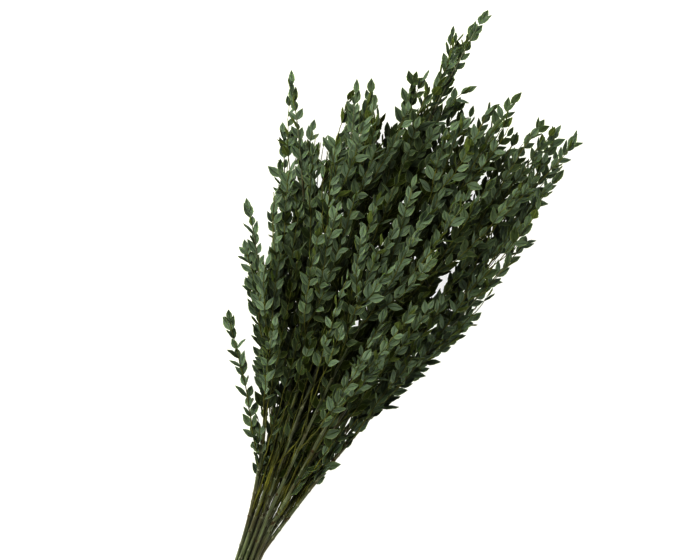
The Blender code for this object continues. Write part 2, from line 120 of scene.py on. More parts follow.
# %% Turn hex colours to linear, and add nodes
def linear(hex_colour):
    channels = [int(hex_colour[place:place + 2], 16) / 255 for place in (1, 3, 5)]
    return tuple(c / 12.92 if c <= 0.04045 else ((c + 0.055) / 1.055) ** 2.4 for c in channels) + (1.0,)


def add_node(tree, kind, inputs=(), **settings):
    node = tree.nodes.new(kind)
    for name, value in settings.items():
        setattr(node, name, value)
    for name, value in dict(inputs).items():
        if isinstance(value, bpy.types.NodeSocket):
            tree.links.new(value, node.inputs[name])
        else:
            node.inputs[name].default_value = value
    return node


def new_material(name):
    material = bpy.data.materials.new(name)
    material.use_nodes = True
    return material, material.node_tree, material.node_tree.nodes["Principled BSDF"]


def cover(tree, shader, colour, height, strength, depth):
    bump = add_node(tree, "ShaderNodeBump", {"Height": height, "Strength": strength, "Distance": depth})
    tree.links.new(colour, shader.inputs["Base Color"])
    tree.links.new(bump.outputs[0], shader.inputs["Normal"])


# A Mix node's sockets for its two colours and its result.
MIX_A, MIX_B, MIX_RESULT = 6, 7, 2

# %% [markdown]
# ## The table and the light
#
# The photograph's ground is pure white and shows no shadow, so the table glows evenly, as a light
# table does. It is only just white: a much brighter one would eat into the thin edges of the leaves.
# Two large soft lamps hang over the bunch and four stand round it, because the photograph's leaves are
# brightest along the bunch's edges. The ceiling is dim, so the gaps deep in the bunch stay dark, which
# makes the leaves stand out from each other.

# %% Make the table
TABLE_SIZE = 8.0
TABLE_GLOW = 0.88

bpy.ops.mesh.primitive_plane_add(size=TABLE_SIZE, location=(0, 0, 0))
table = bpy.context.object
table.name = "table"
material, tree, shader = new_material("light table, frosted glass lit from below")
shader.inputs["Base Color"].default_value = linear("#5C5C5A")
shader.inputs["Roughness"].default_value = 0.9
shader.inputs["Emission Color"].default_value = linear("#FFFFFF")
shader.inputs["Emission Strength"].default_value = TABLE_GLOW
table.data.materials.append(material)

# %% Hang the soft lamps
LAMP_COLOUR = linear("#FFFDE2")[:3]
LIGHTS = (
    {"name": "upper left lamp", "place": (-0.8, 0.5, 2.05), "size": 0.7, "watts": 91},
    {"name": "upper right lamp", "place": (0.9, 0.1, 2.0), "size": 1.0, "watts": 34},
    {"name": "left lamp", "place": (-1.5, 0.15, 0.75), "size": 1.0, "watts": 58},
    {"name": "right lamp", "place": (1.5, 0.0, 0.75), "size": 1.0, "watts": 34},
    {"name": "lamp at the tips", "place": (0.0, 2.0, 0.9), "size": 1.0, "watts": 26},
    {"name": "lamp at the cut ends", "place": (0.0, -1.9, 0.8), "size": 1.0, "watts": 16},
)
for light in LIGHTS:
    bpy.ops.object.light_add(type="AREA", location=light["place"])
    lamp = bpy.context.object
    lamp.name = light["name"]
    lamp.data.size = light["size"]
    lamp.data.energy = light["watts"]
    lamp.data.color = LAMP_COLOUR
    lamp.rotation_euler = (-Vector(light["place"])).to_track_quat("-Z", "Y").to_euler()
print(len(LIGHTS), "lamps")

# %% Light the room
# The room's walls are white, and its ceiling is dim: its strength falls with the height of the look.
WALL_STRENGTH = 0.95
CEILING_STRENGTH = 0.15
WALL_TOP = 0.3
world = bpy.data.worlds.new("white walls and a dim ceiling")
world.use_nodes = True
tree = world.node_tree
look = add_node(tree, "ShaderNodeTexCoord")
height = add_node(tree, "ShaderNodeSeparateXYZ", {0: look.outputs["Generated"]})
strength = add_node(tree, "ShaderNodeMapRange", {0: height.outputs[2], 1: 0.0, 2: WALL_TOP, 3: WALL_STRENGTH,
                                                 4: CEILING_STRENGTH})
tree.nodes["Background"].inputs["Color"].default_value = linear("#F9F8F6")
tree.links.new(strength.outputs[0], tree.nodes["Background"].inputs["Strength"])
bpy.context.scene.world = world
# The photograph is a hard print: its darks are pulled down to black.
PICTURE_GAMMA = 0.68
bpy.context.scene.view_settings.view_transform = "Standard"
bpy.context.scene.view_settings.gamma = PICTURE_GAMMA
print("walls at", WALL_STRENGTH, "and ceiling at", CEILING_STRENGTH)

# %% [markdown]
# ## The stems' places
#
# Thirteen stems are packed in three rows where the band holds them. Each has its own tip, read from
# the photograph, and bends out and up to it. These are the values that the CAD was made with, so the
# looks come out around its solids.

# %% Lay out the stems
STEM_DIAMETER = 4.5 * MM
STEM_DIAMETER_SPREAD = 0.08
STEM_TOP_DIAMETER = 2.0 * MM
CLEARANCE = 0.3 * MM
STEM_PITCH = STEM_DIAMETER * (1 + STEM_DIAMETER_SPREAD) + CLEARANCE
BAND_THICKNESS = 1.5 * MM
CUT_END = -60 * MM
HELD_STRETCH = 5 * MM
SPLAY_BELOW_BAND = 0.2
BEND_FROM_ON_RIGHT = 35 * MM
RIGHT_SIDE_FROM = 60 * MM
BEND_UP = 1.15
# Each stem's tip in mm, across, along and above the table, and how late it bends out to it:
# 1 is a straight line, and more leaves the bend to the stem's end.
BOTTOM_ROW = ((-119, 459, 30, 1.75), (-48, 529, 26, 3), (77, 554, 30, 1.12), (168, 552, 34, 1.12))
MIDDLE_ROW = ((-124, 372, 68, 2.05), (-125, 503, 88, 2.4), (-8, 550, 80, 3.5), (127, 548, 84, 1.12),
              (157, 437, 66, 1.12))
TOP_ROW = ((-59, 514, 124, 2.8), (36, 627, 112, 2.6), (48, 420, 150, 1.9), (90, 557, 126, 1.12))
ROWS = (BOTTOM_ROW, MIDDLE_ROW, TOP_ROW)


def stem_places():
    """Each stem's place in the band, across and up, and its tip."""
    places = []
    lowest = BAND_THICKNESS + STEM_PITCH - STEM_DIAMETER / 2
    for number, row in enumerate(ROWS):
        height = lowest + number * STEM_PITCH * math.sqrt(3) / 2
        for column, tip in enumerate(row):
            across = (column - (len(row) - 1) / 2) * STEM_PITCH
            places.append((across, height, np.array(tip) * (MM, MM, MM, 1)))
    return places


def stem_route(across, height, tip, count=40):
    """Points up the middle of one woody stem. On the right they stay together for longer."""
    bend_from = BEND_FROM_ON_RIGHT if tip[0] > RIGHT_SIDE_FROM else HELD_STRETCH
    points = []
    for along in np.concatenate([[CUT_END, -HELD_STRETCH], np.linspace(HELD_STRETCH, tip[1], count)]):
        below = max((along + HELD_STRETCH) / (CUT_END + HELD_STRETCH), 0)
        rise = max((along - HELD_STRETCH) / (tip[1] - HELD_STRETCH), 0)
        bend = max((along - bend_from) / (tip[1] - bend_from), 0) ** tip[3]
        x = across * (1 + SPLAY_BELOW_BAND * below) + (tip[0] - across) * bend
        z = height - BAND_THICKNESS * below + (tip[2] - height) * rise ** BEND_UP
        points.append((x, along, z))
    return np.array(points)


print(len(stem_places()), "stems")

# %% [markdown]
# ## Measuring along a route
#
# Stems, shoots and twigs are all routes: rows of points. These helpers give the distance along a
# route and the point at a distance.

# %% Helpers for routes
def unit(vector):
    return vector / np.linalg.norm(vector)


def distances_along(route):
    steps = np.linalg.norm(np.diff(route, axis=0), axis=1)
    return np.concatenate([[0], np.cumsum(steps)])


def points_at(route, distances):
    reached = distances_along(route)
    return np.stack([np.interp(distances, reached, route[:, axis]) for axis in range(3)], axis=1)


def sideways_from(heading, turn):
    """A direction square to a heading, turned about it."""
    level = unit(np.cross(heading, UP))
    return math.cos(turn) * level + math.sin(turn) * np.cross(heading, level)


# %% [markdown]
# ## How a shoot grows
#
# A side shoot leaves its stem at an angle, then bends until it follows the fan of the bunch. It stops
# at the outline that the photograph shows, and never goes below the table.

# %% Grow one shoot
SHOOT_ANGLE = math.radians(34)
SHOOT_STEPS = 14
SHOOT_TURN_OUT = 0.17
FAN_POINT = np.array((0, -90, 0)) * MM
LOWEST_TWIG = 3.2 * MM
HIGHEST_TWIG = 168 * MM
LEAF_LENGTH = 16.5 * MM
# The bunch's outline from above, in mm across and along, measured from the band.
OUTLINE = ((-14, 90), (-25, 140), (-49, 204), (-61, 237), (-79, 272), (-97, 298), (-114, 334),
           (-127, 374), (-102, 338), (-88, 322), (-88, 344), (-99, 381), (-111, 415), (-122, 450),
           (-117, 470), (-121, 481), (-133, 510), (-101, 486), (-87, 474), (-75, 472), (-59, 452),
           (-65, 494), (-64, 518), (-50, 515), (-48, 530), (-31, 511), (-18, 500), (-9, 502),
           (-8, 553), (8, 553), (8, 600), (10, 612), (18, 606), (37, 633), (28, 586), (30, 552),
           (48, 560), (52, 545), (76, 552), (86, 550), (92, 565), (98, 540), (110, 532), (128, 551),
           (145, 553), (152, 538), (166, 550), (167, 507), (153, 470), (157, 437), (143, 400),
           (137, 335), (84, 250), (60, 185), (42, 134), (25, 90))


def inside_outline(point):
    """Whether a point lies inside the outline: a line to one side of it crosses an edge more."""
    inside = False
    for (x1, y1), (x2, y2) in zip(OUTLINE, OUTLINE[1:] + OUTLINE[:1]):
        x, y = point[0] / MM, point[1] / MM
        if (y1 > y) != (y2 > y) and x < x1 + (x2 - x1) * (y - y1) / (y2 - y1):
            inside = not inside
    return inside


def seen_from_above(point):
    """Where the camera sees a point, on the level that the outline was measured on."""
    nearer = CAMERA_DISTANCE / (CAMERA_DISTANCE + LEAF_HEIGHT - point[2])
    return PICTURE_MIDDLE + (point - PICTURE_MIDDLE) * nearer


def shoot_route(start, heading, sideways, length, angle=SHOOT_ANGLE):
    """The middle of a shoot, from its root to where it reaches its length or the outline."""
    points = [start]
    direction = math.cos(angle) * heading + math.sin(angle) * sideways
    for _ in range(SHOOT_STEPS):
        outwards = unit(points[-1] - FAN_POINT)
        direction = unit(direction + outwards * SHOOT_TURN_OUT)
        point = points[-1] + direction * length / SHOOT_STEPS
        if point[2] < LOWEST_TWIG:
            point[2] = LOWEST_TWIG
            direction = unit(direction * (1, 1, 0))
        if not inside_outline(point + direction * LEAF_LENGTH) or point[2] > HIGHEST_TWIG:
            break
        points.append(point)
    return np.array(points)


# %% [markdown]
# ## The shoots of the CAD
#
# Each stem has a leader, which is its own thin top, and seven side shoots. A shoot's place is the
# roomiest of twenty random ones, so the shoots fill the bunch evenly and none runs through another.
# The same seed and the same order of draws as in the CAD give the same shoots.

# %% Grow the CAD's shoots again
SEED = 5
RINGS_ABOVE_BAND = 8
RING_SPACING_GROWTH = 1.3
WOOD_SHARE = 0.8
SHOOTS_PER_STEM = 7
TRIES_PER_SHOOT = 20
FIRST_SHOOT = 105 * MM
LAST_SHOOT_SHARE = 0.78
LONGEST_SHOOT = 185 * MM
SHORTEST_SHOOT = 70 * MM
SHOOT_REACH_SHARES = (0.75, 1.05)
SHOOT_DIAMETER = 1.6 * MM
SHOOT_PAIR_SHIFT = 0.3
SHOOT_ROOT = 12 * MM
SHOOT_GAP = 1.2 * MM
LEADER_OVERLAP = 5 * MM
ROOM_WANTED = 30 * MM
SAMPLE_STEP = 4 * MM
BARE_SHARE = 0.12
PAIRS_PER_SHOOT = 3
# One shoot stands away from the others, low on the left side: the number of its stem, how far up
# the stem it leaves, its tip in mm, and how far its middle bows to the right.
LOW_SHOOT_STEM = 4
LOW_SHOOT_FROM = 118 * MM
LOW_SHOOT_TIP = (-100, 254, 58)
LOW_SHOOT_BOW = 3 * MM
LOW_SHOOT_BARE = 24 * MM


def twig_rings(route, first, last, shift):
    """The middles of a CAD twig's rings: its root, each pair of leaves, and its end."""
    bare = first + BARE_SHARE * (last - first)
    pairs = bare + (last - bare) * (np.arange(PAIRS_PER_SHOOT) + 0.5 + shift) / PAIRS_PER_SHOOT
    return points_at(route, np.concatenate([[first], pairs, [last]]))


def evenly_along(route):
    return points_at(route, np.arange(0, distances_along(route)[-1], SAMPLE_STEP))


def sampled(route, radius, owner):
    """Points along a route for the distance test, each with the radius there and its stem's number."""
    points = evenly_along(route)
    return np.column_stack([points, np.full(len(points), radius), np.full(len(points), owner)])


def room_round(rings, owner, others):
    """The mean free distance beside a shoot, or None where it would touch something."""
    samples = sampled(rings, SHOOT_DIAMETER / 2, owner)
    here, there = samples[:, :3], others[:, :3]
    squares = (here ** 2).sum(axis=1)[:, None] + (there ** 2).sum(axis=1) - 2 * here @ there.T
    gaps = np.sqrt(squares.clip(0)) - others[None, :, 3]
    near_root = np.arange(len(samples)) * SAMPLE_STEP < SHOOT_ROOT
    gaps[np.ix_(near_root, others[:, 4] == owner)] = ROOM_WANTED
    nearest = gaps.min(axis=1)
    if nearest.min() < SHOOT_DIAMETER / 2 + SHOOT_GAP:
        return None
    return np.minimum(nearest, ROOM_WANTED).mean()


def roomiest_shoot(route, owner, place, taken, rng):
    """The best of several random shoots in one part of a stem, with its rings in the CAD."""
    top = distances_along(route)[-1]
    first, last = FIRST_SHOOT - CUT_END, top * LAST_SHOOT_SHARE
    best, most_room = None, 0
    for _ in range(TRIES_PER_SHOOT):
        start_at = first + (last - first) * (place + rng.uniform()) / SHOOTS_PER_STEM
        length = min(LONGEST_SHOOT, (top - start_at) * rng.uniform(*SHOOT_REACH_SHARES))
        start, beyond = points_at(route, [start_at, start_at + SHOOT_ROOT])
        heading = unit(beyond - start)
        shoot = shoot_route(start, heading, sideways_from(heading, rng.uniform(0, 2 * math.pi)), length)
        grown = distances_along(shoot)[-1]
        if grown < SHORTEST_SHOOT:
            continue
        rings = twig_rings(shoot, 0, grown, rng.uniform(-1, 1) * SHOOT_PAIR_SHIFT)
        room = room_round(rings, owner, taken)
        if room and room > most_room:
            best, most_room = {"route": shoot, "rings": rings, "from": start_at}, room
    return best


def low_shoot(route):
    """The middle of the shoot that stands away: a plain bow from its stem to its own tip."""
    start = points_at(route, [LOW_SHOOT_FROM - CUT_END])[0]
    tip = np.array(LOW_SHOOT_TIP) * MM
    rise = np.linspace(0, 1, SHOOT_STEPS + 1)[:, None]
    bow = np.array((1, 0, 0)) * LOW_SHOOT_BOW * np.sin(rise * math.pi)
    return start + (tip - start) * rise + bow


def grow_skeleton():
    """The routes of every woody stem, its leader and its shoots."""
    rng = np.random.default_rng(SEED)
    stems = []
    for number, (across, height, tip) in enumerate(stem_places()):
        route = stem_route(across, height, tip)
        top = distances_along(route)[-1] - LEAF_LENGTH
        held_from, held_to = -CUT_END - HELD_STRETCH, -CUT_END + HELD_STRETCH
        above_band = np.linspace(0, 1, RINGS_ABOVE_BAND) ** RING_SPACING_GROWTH
        marks = np.concatenate([[0, held_from], held_to + (top * WOOD_SHARE - held_to) * above_band])
        wood = points_at(route, marks)
        shift = rng.uniform(-1, 1) * SHOOT_PAIR_SHIFT
        leader = twig_rings(route, top * WOOD_SHARE - LEADER_OVERLAP, top, shift)
        radius = STEM_DIAMETER / 2 * (1 + STEM_DIAMETER_SPREAD * rng.uniform(-1, 1))
        stems.append({"number": number, "route": route, "top": top, "wood": wood, "radius": radius,
                      "leader": leader, "shoots": []})
    shoot = low_shoot(stems[LOW_SHOOT_STEM]["wood"])
    rings = twig_rings(shoot, 0, distances_along(shoot)[-1], 0)
    stems[LOW_SHOOT_STEM]["shoots"].append({"route": shoot, "rings": rings, "from": LOW_SHOOT_FROM - CUT_END,
                                            "is_shown": True, "bare": LOW_SHOOT_BARE})
    taken = [sampled(stem["wood"], stem["radius"], stem["number"]) for stem in stems]
    for stem in stems:
        for rings in [stem["leader"]] + [shoot["rings"] for shoot in stem["shoots"]]:
            taken.append(sampled(rings, SHOOT_DIAMETER / 2, stem["number"]))
    for place in range(SHOOTS_PER_STEM):
        for stem in stems:
            whole = np.concatenate([stem["wood"], stem["leader"][1:]])
            shoot = roomiest_shoot(whole, stem["number"], place, np.concatenate(taken), rng)
            if shoot is not None:
                stem["shoots"].append(shoot)
                taken.append(sampled(shoot["rings"], SHOOT_DIAMETER / 2, stem["number"]))
    return stems


stems = grow_skeleton()
print(sum(len(stem["shoots"]) for stem in stems), "shoots of the CAD")

# %% Compare the routes with the CAD's solids
farthest = 0
for stem in stems:
    node = frame["nodes"][f"leafy_stem_{stem['number'] + 1:02}"]
    corners = kdtree.KDTree(len(node.data.vertices))
    for index, vertex in enumerate(node.data.vertices):
        corners.insert(vertex.co, index)
    corners.balance()
    for ring in np.concatenate([stem["wood"][1:-1]] + [shoot["rings"][1:] for shoot in stem["shoots"]]):
        farthest = max(farthest, corners.find(ring + BAND_MIDDLE)[2])
print("farthest that a ring's middle is from its solid's corners:", round(farthest / MM, 2), "mm")

# %% [markdown]
# ## More sprigs than the CAD has
#
# The CAD keeps to a third of the twigs, as its faces are few. The real bunch is so full that hardly
# any light comes through it, so thinner sprigs fill it. Most grow from a stem or a shoot, each at the
# roomiest of several random places. Some start just above the band and run up close beside the wood.
# Fifty more have their places in a table: half end at tips that can be told apart in the photograph,
# and half fill places that chance leaves thinner than it shows them. No random sprig crosses the
# patch of bare wood that the photograph shows.

# %% Find places for random sprigs
SPRIGS_PER_STEM = 10
TRIES_PER_SPRIG = 14
SPRIG_LENGTHS = (60 * MM, 135 * MM)
SHORTEST_SPRIG = 38 * MM
SPRIG_GAP = 2.2 * MM
FIRST_SPRIG = 120 * MM
# Low on the stem, thin sprigs run up close beside the wood, and are bare for a while.
LOW_SPRIGS_PER_STEM = 4
LOW_SPRIGS_AT = (6 * MM, 90 * MM)
LOW_SPRIG_LENGTHS = (80 * MM, 150 * MM)
LOW_SPRIG_ANGLES = (math.radians(4), math.radians(11))
LOW_SPRIG_GAP = 0.3 * MM
LOW_SPRIG_BARE = 0.5
LOW_SPRIG_RADII = (1.3 * MM, 0.35 * MM)
SPRIG_RADII = (0.5 * MM, 0.27 * MM)
# Where the photograph shows bare wood from above: the middle of the place across and along, half its
# width and length, and how high it starts.
BARE_WOOD = (4 * MM, 205 * MM, 14 * MM, 46 * MM, 36 * MM)


def over_bare_wood(point):
    across, along, half_width, half_length, level = BARE_WOOD
    offset = math.hypot((point[0] - across) / half_width, (point[1] - along) / half_length)
    return offset < 1 and point[2] > level


def distance_tree(points):
    tree = kdtree.KDTree(len(points))
    for index, point in enumerate(points):
        tree.insert(point, index)
    tree.balance()
    return tree


def sprig_room(route, others):
    """The mean free distance round a sprig beyond its root, or 0 where it would touch something."""
    points = points_at(route, np.arange(SHOOT_ROOT, distances_along(route)[-1], SAMPLE_STEP))
    gaps = [others.find(point)[2] for point in points]
    return np.mean(gaps) if min(gaps) > SPRIG_GAP else 0


def random_sprig(route, start_at, rng, lengths, angles=None):
    """A sprig that leaves a route at a distance along it, to a random side."""
    start, beyond = points_at(route, [start_at, start_at + SHOOT_ROOT])
    heading = unit(beyond - start)
    sideways = sideways_from(heading, rng.uniform(0, 2 * math.pi))
    length = rng.uniform(*lengths)
    return shoot_route(start, heading, sideways, length, rng.uniform(*angles) if angles else SHOOT_ANGLE)


def roomiest_sprig(parents, others, rng):
    """The best of several random sprigs on the routes that may carry one."""
    best, most_room = None, 0
    for _ in range(TRIES_PER_SPRIG):
        parent = parents[rng.integers(len(parents))]
        start_at = rng.uniform(*parent["sprigs_at"])
        route = random_sprig(parent["route"], start_at, rng, SPRIG_LENGTHS)
        if distances_along(route)[-1] < SHORTEST_SPRIG or any(over_bare_wood(point) for point in route):
            continue
        room = sprig_room(route, others)
        if room > most_room:
            best, most_room = {"route": route, "from": start_at, "on_wood": parent["is_wood"]}, room
    return best


def low_sprig(stem, others, rng):
    """A thin sprig that runs up beside the wood, where there is room for it."""
    for _ in range(TRIES_PER_SPRIG):
        start_at = rng.uniform(*LOW_SPRIGS_AT) - CUT_END
        route = random_sprig(stem["route"], start_at, rng, LOW_SPRIG_LENGTHS, LOW_SPRIG_ANGLES)
        length = distances_along(route)[-1]
        if length < SHORTEST_SPRIG or any(over_bare_wood(point) for point in route):
            continue
        far_part = points_at(route, np.arange(length * LOW_SPRIG_BARE, length, SAMPLE_STEP))
        if min(others.find(point)[2] for point in far_part) > LOW_SPRIG_GAP:
            return {"route": route, "from": start_at, "on_wood": True, "bare": length * LOW_SPRIG_BARE,
                    "radii": LOW_SPRIG_RADII}
    return None


# %% List the sprigs with a place of their own
# The sprigs with a place of their own: the number of the stem, how far above the band they leave it,
# and the tip of their last leaf, in mm. The first 25 tips are seen one by one in the photograph.
SHOWN_SPRIGS = ((10, 500, (9, 606, 104)), (10, 450, (47, 556, 118)), (5, 385, (-88, 474, 60)),
                (9, 370, (-70, 458, 100)), (6, 420, (-13, 500, 75)), (6, 470, (2, 556, 84)),
                (12, 450, (103, 530, 118)), (12, 360, (84, 478, 130)), (3, 440, (145, 554, 60)),
                (3, 400, (168, 510, 40)), (3, 370, (160, 488, 24)), (3, 350, (152, 470, 60)),
                (8, 215, (130, 330, 50)), (8, 185, (104, 294, 40)), (0, 300, (-104, 372, 30)),
                (0, 360, (-112, 425, 40)),
                (4, 215, (-117, 336, 62)), (4, 190, (-102, 302, 52)), (4, 120, (-74, 261, 45)),
                (4, 95, (-44, 178, 40)), (0, 90, (-31, 152, 22)), (3, 82, (38, 142, 10)),
                (12, 84, (28, 150, 40)), (3, 90, (40, 163, 20)), (8, 100, (46, 178, 34)),
                (0, 15, (-40, 280, 14)), (1, 12, (-8, 300, 14)), (1, 30, (12, 320, 16)),
                (2, 20, (30, 300, 12)), (2, 14, (52, 300, 16)),
                (9, 330, (-19, 456, 114)), (10, 330, (-8, 480, 142)), (10, 300, (-2, 432, 116)),
                (10, 350, (10, 503, 140)), (4, 150, (-62, 240, 58)), (4, 170, (-72, 272, 64)),
                (0, 200, (-72, 292, 44)), (0, 160, (-52, 228, 36)), (12, 200, (76, 350, 104)),
                (8, 150, (86, 312, 62)), (8, 120, (70, 268, 50)),
                (10, 400, (30, 500, 148)), (10, 360, (12, 478, 150)), (10, 350, (38, 478, 146)),
                (11, 300, (24, 450, 156)), (1, 8, (-30, 280, 12)), (1, 20, (-4, 290, 12)),
                (2, 8, (16, 300, 13)), (2, 30, (40, 300, 14)), (3, 8, (44, 240, 12)))
SHOWN_BARE = 0.35
SHOWN_BEND = 0.5
LAST_LEAF_REACH = 0.9


def shown_sprig(stem, along, tip):
    """A bow from a stem to where the last leaf begins, which leaves the stem nearly along it."""
    start, beyond = points_at(stem["route"], [along * MM - CUT_END, along * MM - CUT_END + SHOOT_ROOT])
    tip = np.array(tip) * MM
    bend = start + unit(beyond - start) * np.linalg.norm(tip - start) * SHOWN_BEND
    rise = np.linspace(0, 1, SHOOT_STEPS + 1)[:, None]
    route = (1 - rise) ** 2 * start + 2 * rise * (1 - rise) * bend + rise ** 2 * tip
    length = distances_along(route)[-1]
    route = points_at(route, np.linspace(0, length - LAST_LEAF_REACH * LEAF_LENGTH, SHOOT_STEPS + 1))
    return {"route": route, "from": along * MM - CUT_END, "is_shown": True, "bare": SHOWN_BARE * length,
            "on_wood": along * MM < stem["top"] * WOOD_SHARE,
            "radii": LOW_SPRIG_RADII if along * MM < LOW_SPRIGS_AT[1] else SPRIG_RADII}


print(len(SHOWN_SPRIGS), "sprigs have a place of their own")

# %% Add the sprigs
# A random sprig starts on the wood more often than on any one shoot, and on this part of a shoot.
WOOD_CHANCES = 3
SPRIGS_ON_SHOOT = (0.12, 0.6)


def grow_sprigs(stems):
    rng = np.random.default_rng(SEED)
    taken = [evenly_along(stem["route"]) for stem in stems]
    taken += [evenly_along(shoot["route"]) for stem in stems for shoot in stem["shoots"]]
    for stem in stems:
        stem["sprigs"] = []
        wood = {"route": stem["route"], "is_wood": True,
                "sprigs_at": (FIRST_SPRIG - CUT_END, stem["top"] * WOOD_SHARE)}
        stem["parents"] = [wood] * WOOD_CHANCES
        for shoot in stem["shoots"]:
            length = distances_along(shoot["route"])[-1]
            stem["parents"].append({"route": shoot["route"], "is_wood": False,
                                    "sprigs_at": [length * share for share in SPRIGS_ON_SHOOT]})
    for number, along, tip in SHOWN_SPRIGS:
        sprig = shown_sprig(stems[number], along, tip)
        stems[number]["sprigs"].append(sprig)
        taken.append(evenly_along(sprig["route"]))
    for turn in range(SPRIGS_PER_STEM + LOW_SPRIGS_PER_STEM):
        for stem in stems:
            others = distance_tree(np.concatenate(taken))
            if turn < SPRIGS_PER_STEM:
                sprig = roomiest_sprig(stem["parents"], others, rng)
            else:
                sprig = low_sprig(stem, others, rng)
            if sprig is not None:
                stem["sprigs"].append(sprig)
                taken.append(evenly_along(sprig["route"]))


grow_sprigs(stems)
print(sum(len(stem["sprigs"]) for stem in stems), "sprigs more")

# %% [markdown]
# ## The leaf's two faces
#
# The leaves are preserved by drying: they keep a dull grey-green upper face with a waxy bloom, and a
# yellower underside. To the eye that is a matt surface, mottled where the bloom is rubbed, with a dark
# line down the folded middle, which is painted shade in the fold, very faint side veins and a thin
# paler rim. Underneath, the midrib is the paler part. These lines follow the leaf, so they are drawn
# on its UV map. The tone differs from leaf to leaf, by an attribute that each copy gets its own value
# of; it also carries painted shade, which darkens the leaves deep in the bunch.

# %% Make the leaf materials
# The pattern of the veins is a share of the leaf, so it grows with it. The bloom is mottled at a
# real size of about 3 mm.
BLOOM_SIZE = 3 * MM
MIDRIB_SHARE = 0.075
RIM_SHARE = 0.08
VEIN_PAIRS = 7
VEIN_SLANT = 1.3
VEIN_FROM = 0.7
VEIN_STRENGTH = 0.18
MIDRIB_STRENGTH = 0.8
RIM_STRENGTH = 0.42
MOTTLING = 0.5
BLOOM_RELIEF = 0.8
LEAF_IOR = 1.45
LEAF_SHEEN = 0.05
LEAF_THICKNESS = 0.3 * MM
LIGHT_THROUGH = 0.3
LIGHT_THROUGH_COLOUR = (0.7, 1.0, 0.3)


def leaf_material(name, colours, roughness):
    material, tree, shader = new_material(name)
    flat = add_node(tree, "ShaderNodeUVMap", uv_map="UVMap")
    place = add_node(tree, "ShaderNodeSeparateXYZ", {0: flat.outputs[0]})
    from_middle = add_node(tree, "ShaderNodeMath", {0: place.outputs[0], 1: 0.5}, operation="SUBTRACT")
    across = add_node(tree, "ShaderNodeMath", {0: from_middle.outputs[0]}, operation="ABSOLUTE").outputs[0]
    midrib = add_node(tree, "ShaderNodeMapRange", {0: across, 1: 0.0, 2: MIDRIB_SHARE, 3: 1.0, 4: 0.0})
    rim = add_node(tree, "ShaderNodeMapRange", {0: across, 1: 0.5 - RIM_SHARE, 2: 0.5, 3: 0.0, 4: 1.0})
    slanted = add_node(tree, "ShaderNodeMath", {0: across, 1: -VEIN_SLANT, 2: place.outputs[1]},
                       operation="MULTIPLY_ADD")
    turns = add_node(tree, "ShaderNodeMath", {0: slanted.outputs[0], 1: VEIN_PAIRS * 2 * math.pi},
                     operation="MULTIPLY")
    wave = add_node(tree, "ShaderNodeMath", {0: turns.outputs[0]}, operation="SINE")
    veins = add_node(tree, "ShaderNodeMapRange", {0: wave.outputs[0], 1: VEIN_FROM, 2: 1.0, 3: 0.0, 4: 1.0})
    where = add_node(tree, "ShaderNodeTexCoord")
    bloom = add_node(tree, "ShaderNodeTexNoise", {"Vector": where.outputs["Object"], "Scale": 1 / BLOOM_SIZE,
                                                  "Detail": 3.0, "Roughness": 0.6})
    tone = add_node(tree, "ShaderNodeAttribute", attribute_name="tone")
    mottled = add_node(tree, "ShaderNodeMath", {0: bloom.outputs[0], 1: MOTTLING, 2: -MOTTLING / 2},
                       operation="MULTIPLY_ADD")
    # Paleness follows the tone. The tone holds the bloom, a random part, and painted shade that darkens the
    # leaves deep in the bunch.
    paleness = add_node(tree, "ShaderNodeMath", {0: tone.outputs["Fac"], 1: mottled.outputs[0]},
                        operation="ADD", use_clamp=True)
    blade = add_node(tree, "ShaderNodeMix", {0: paleness.outputs[0], MIX_A: linear(colours["dark"]),
                                             MIX_B: linear(colours["pale"])}, data_type="RGBA")
    colour = blade.outputs[MIX_RESULT]
    # On the upper face the midrib line is painted dark, as the shade in the fold; underneath, the paler
    # midrib is its own colour.
    for line, strength, tint in ((veins, VEIN_STRENGTH, "rib"), (midrib, MIDRIB_STRENGTH, "rib"),
                                 (rim, RIM_STRENGTH, "rim")):
        share = add_node(tree, "ShaderNodeMath", {0: line.outputs[0], 1: strength}, operation="MULTIPLY")
        colour = add_node(tree, "ShaderNodeMix", {0: share.outputs[0], MIX_A: colour,
                                                  MIX_B: linear(colours[tint])},
                          data_type="RGBA").outputs[MIX_RESULT]
    lines = add_node(tree, "ShaderNodeMath", {0: midrib.outputs[0], 1: veins.outputs[0]}, operation="ADD")
    relief = add_node(tree, "ShaderNodeMath", {0: bloom.outputs[0], 1: BLOOM_RELIEF, 2: lines.outputs[0]},
                      operation="MULTIPLY_ADD")
    cover(tree, shader, colour, relief.outputs[0], 0.5, 0.15 * MM)
    shader.inputs["Roughness"].default_value = roughness
    shader.inputs["IOR"].default_value = LEAF_IOR
    shader.inputs["Specular IOR Level"].default_value = LEAF_SHEEN
    # A little of the light goes through the thin blade and comes out green.
    shader.inputs["Subsurface Weight"].default_value = LIGHT_THROUGH
    shader.inputs["Subsurface Radius"].default_value = LIGHT_THROUGH_COLOUR
    shader.inputs["Subsurface Scale"].default_value = LEAF_THICKNESS
    return material


# The upper face's dark rib colour is painted shade in the midrib's fold, and the faint veins share it.
upper_face = leaf_material("preserved gum leaf, waxy upper face",
                           {"dark": "#1F2703", "pale": "#4E5A52", "rib": "#1E250C", "rim": "#868D68"}, 0.55)
under_face = leaf_material("preserved gum leaf, underside",
                           {"dark": "#1E250B", "pale": "#3D4628", "rib": "#555B33", "rim": "#666B45"}, 0.65)

# %% [markdown]
# ## The leaf
#
# A small-leaved gum's leaf is about 16 mm long, egg-shaped with a short sharp tip, and folded a little
# along its midrib. It stands on a stalk of 1 to 2 mm. It could be drawn as a flat card, but a
# card has no edge and no underside. So it is modelled once: a grid is drawn in row by row to the
# outline, folded, and given an underside that meets the upper side at the rim. That takes few
# faces, because the leaf is repeated thousands of times.

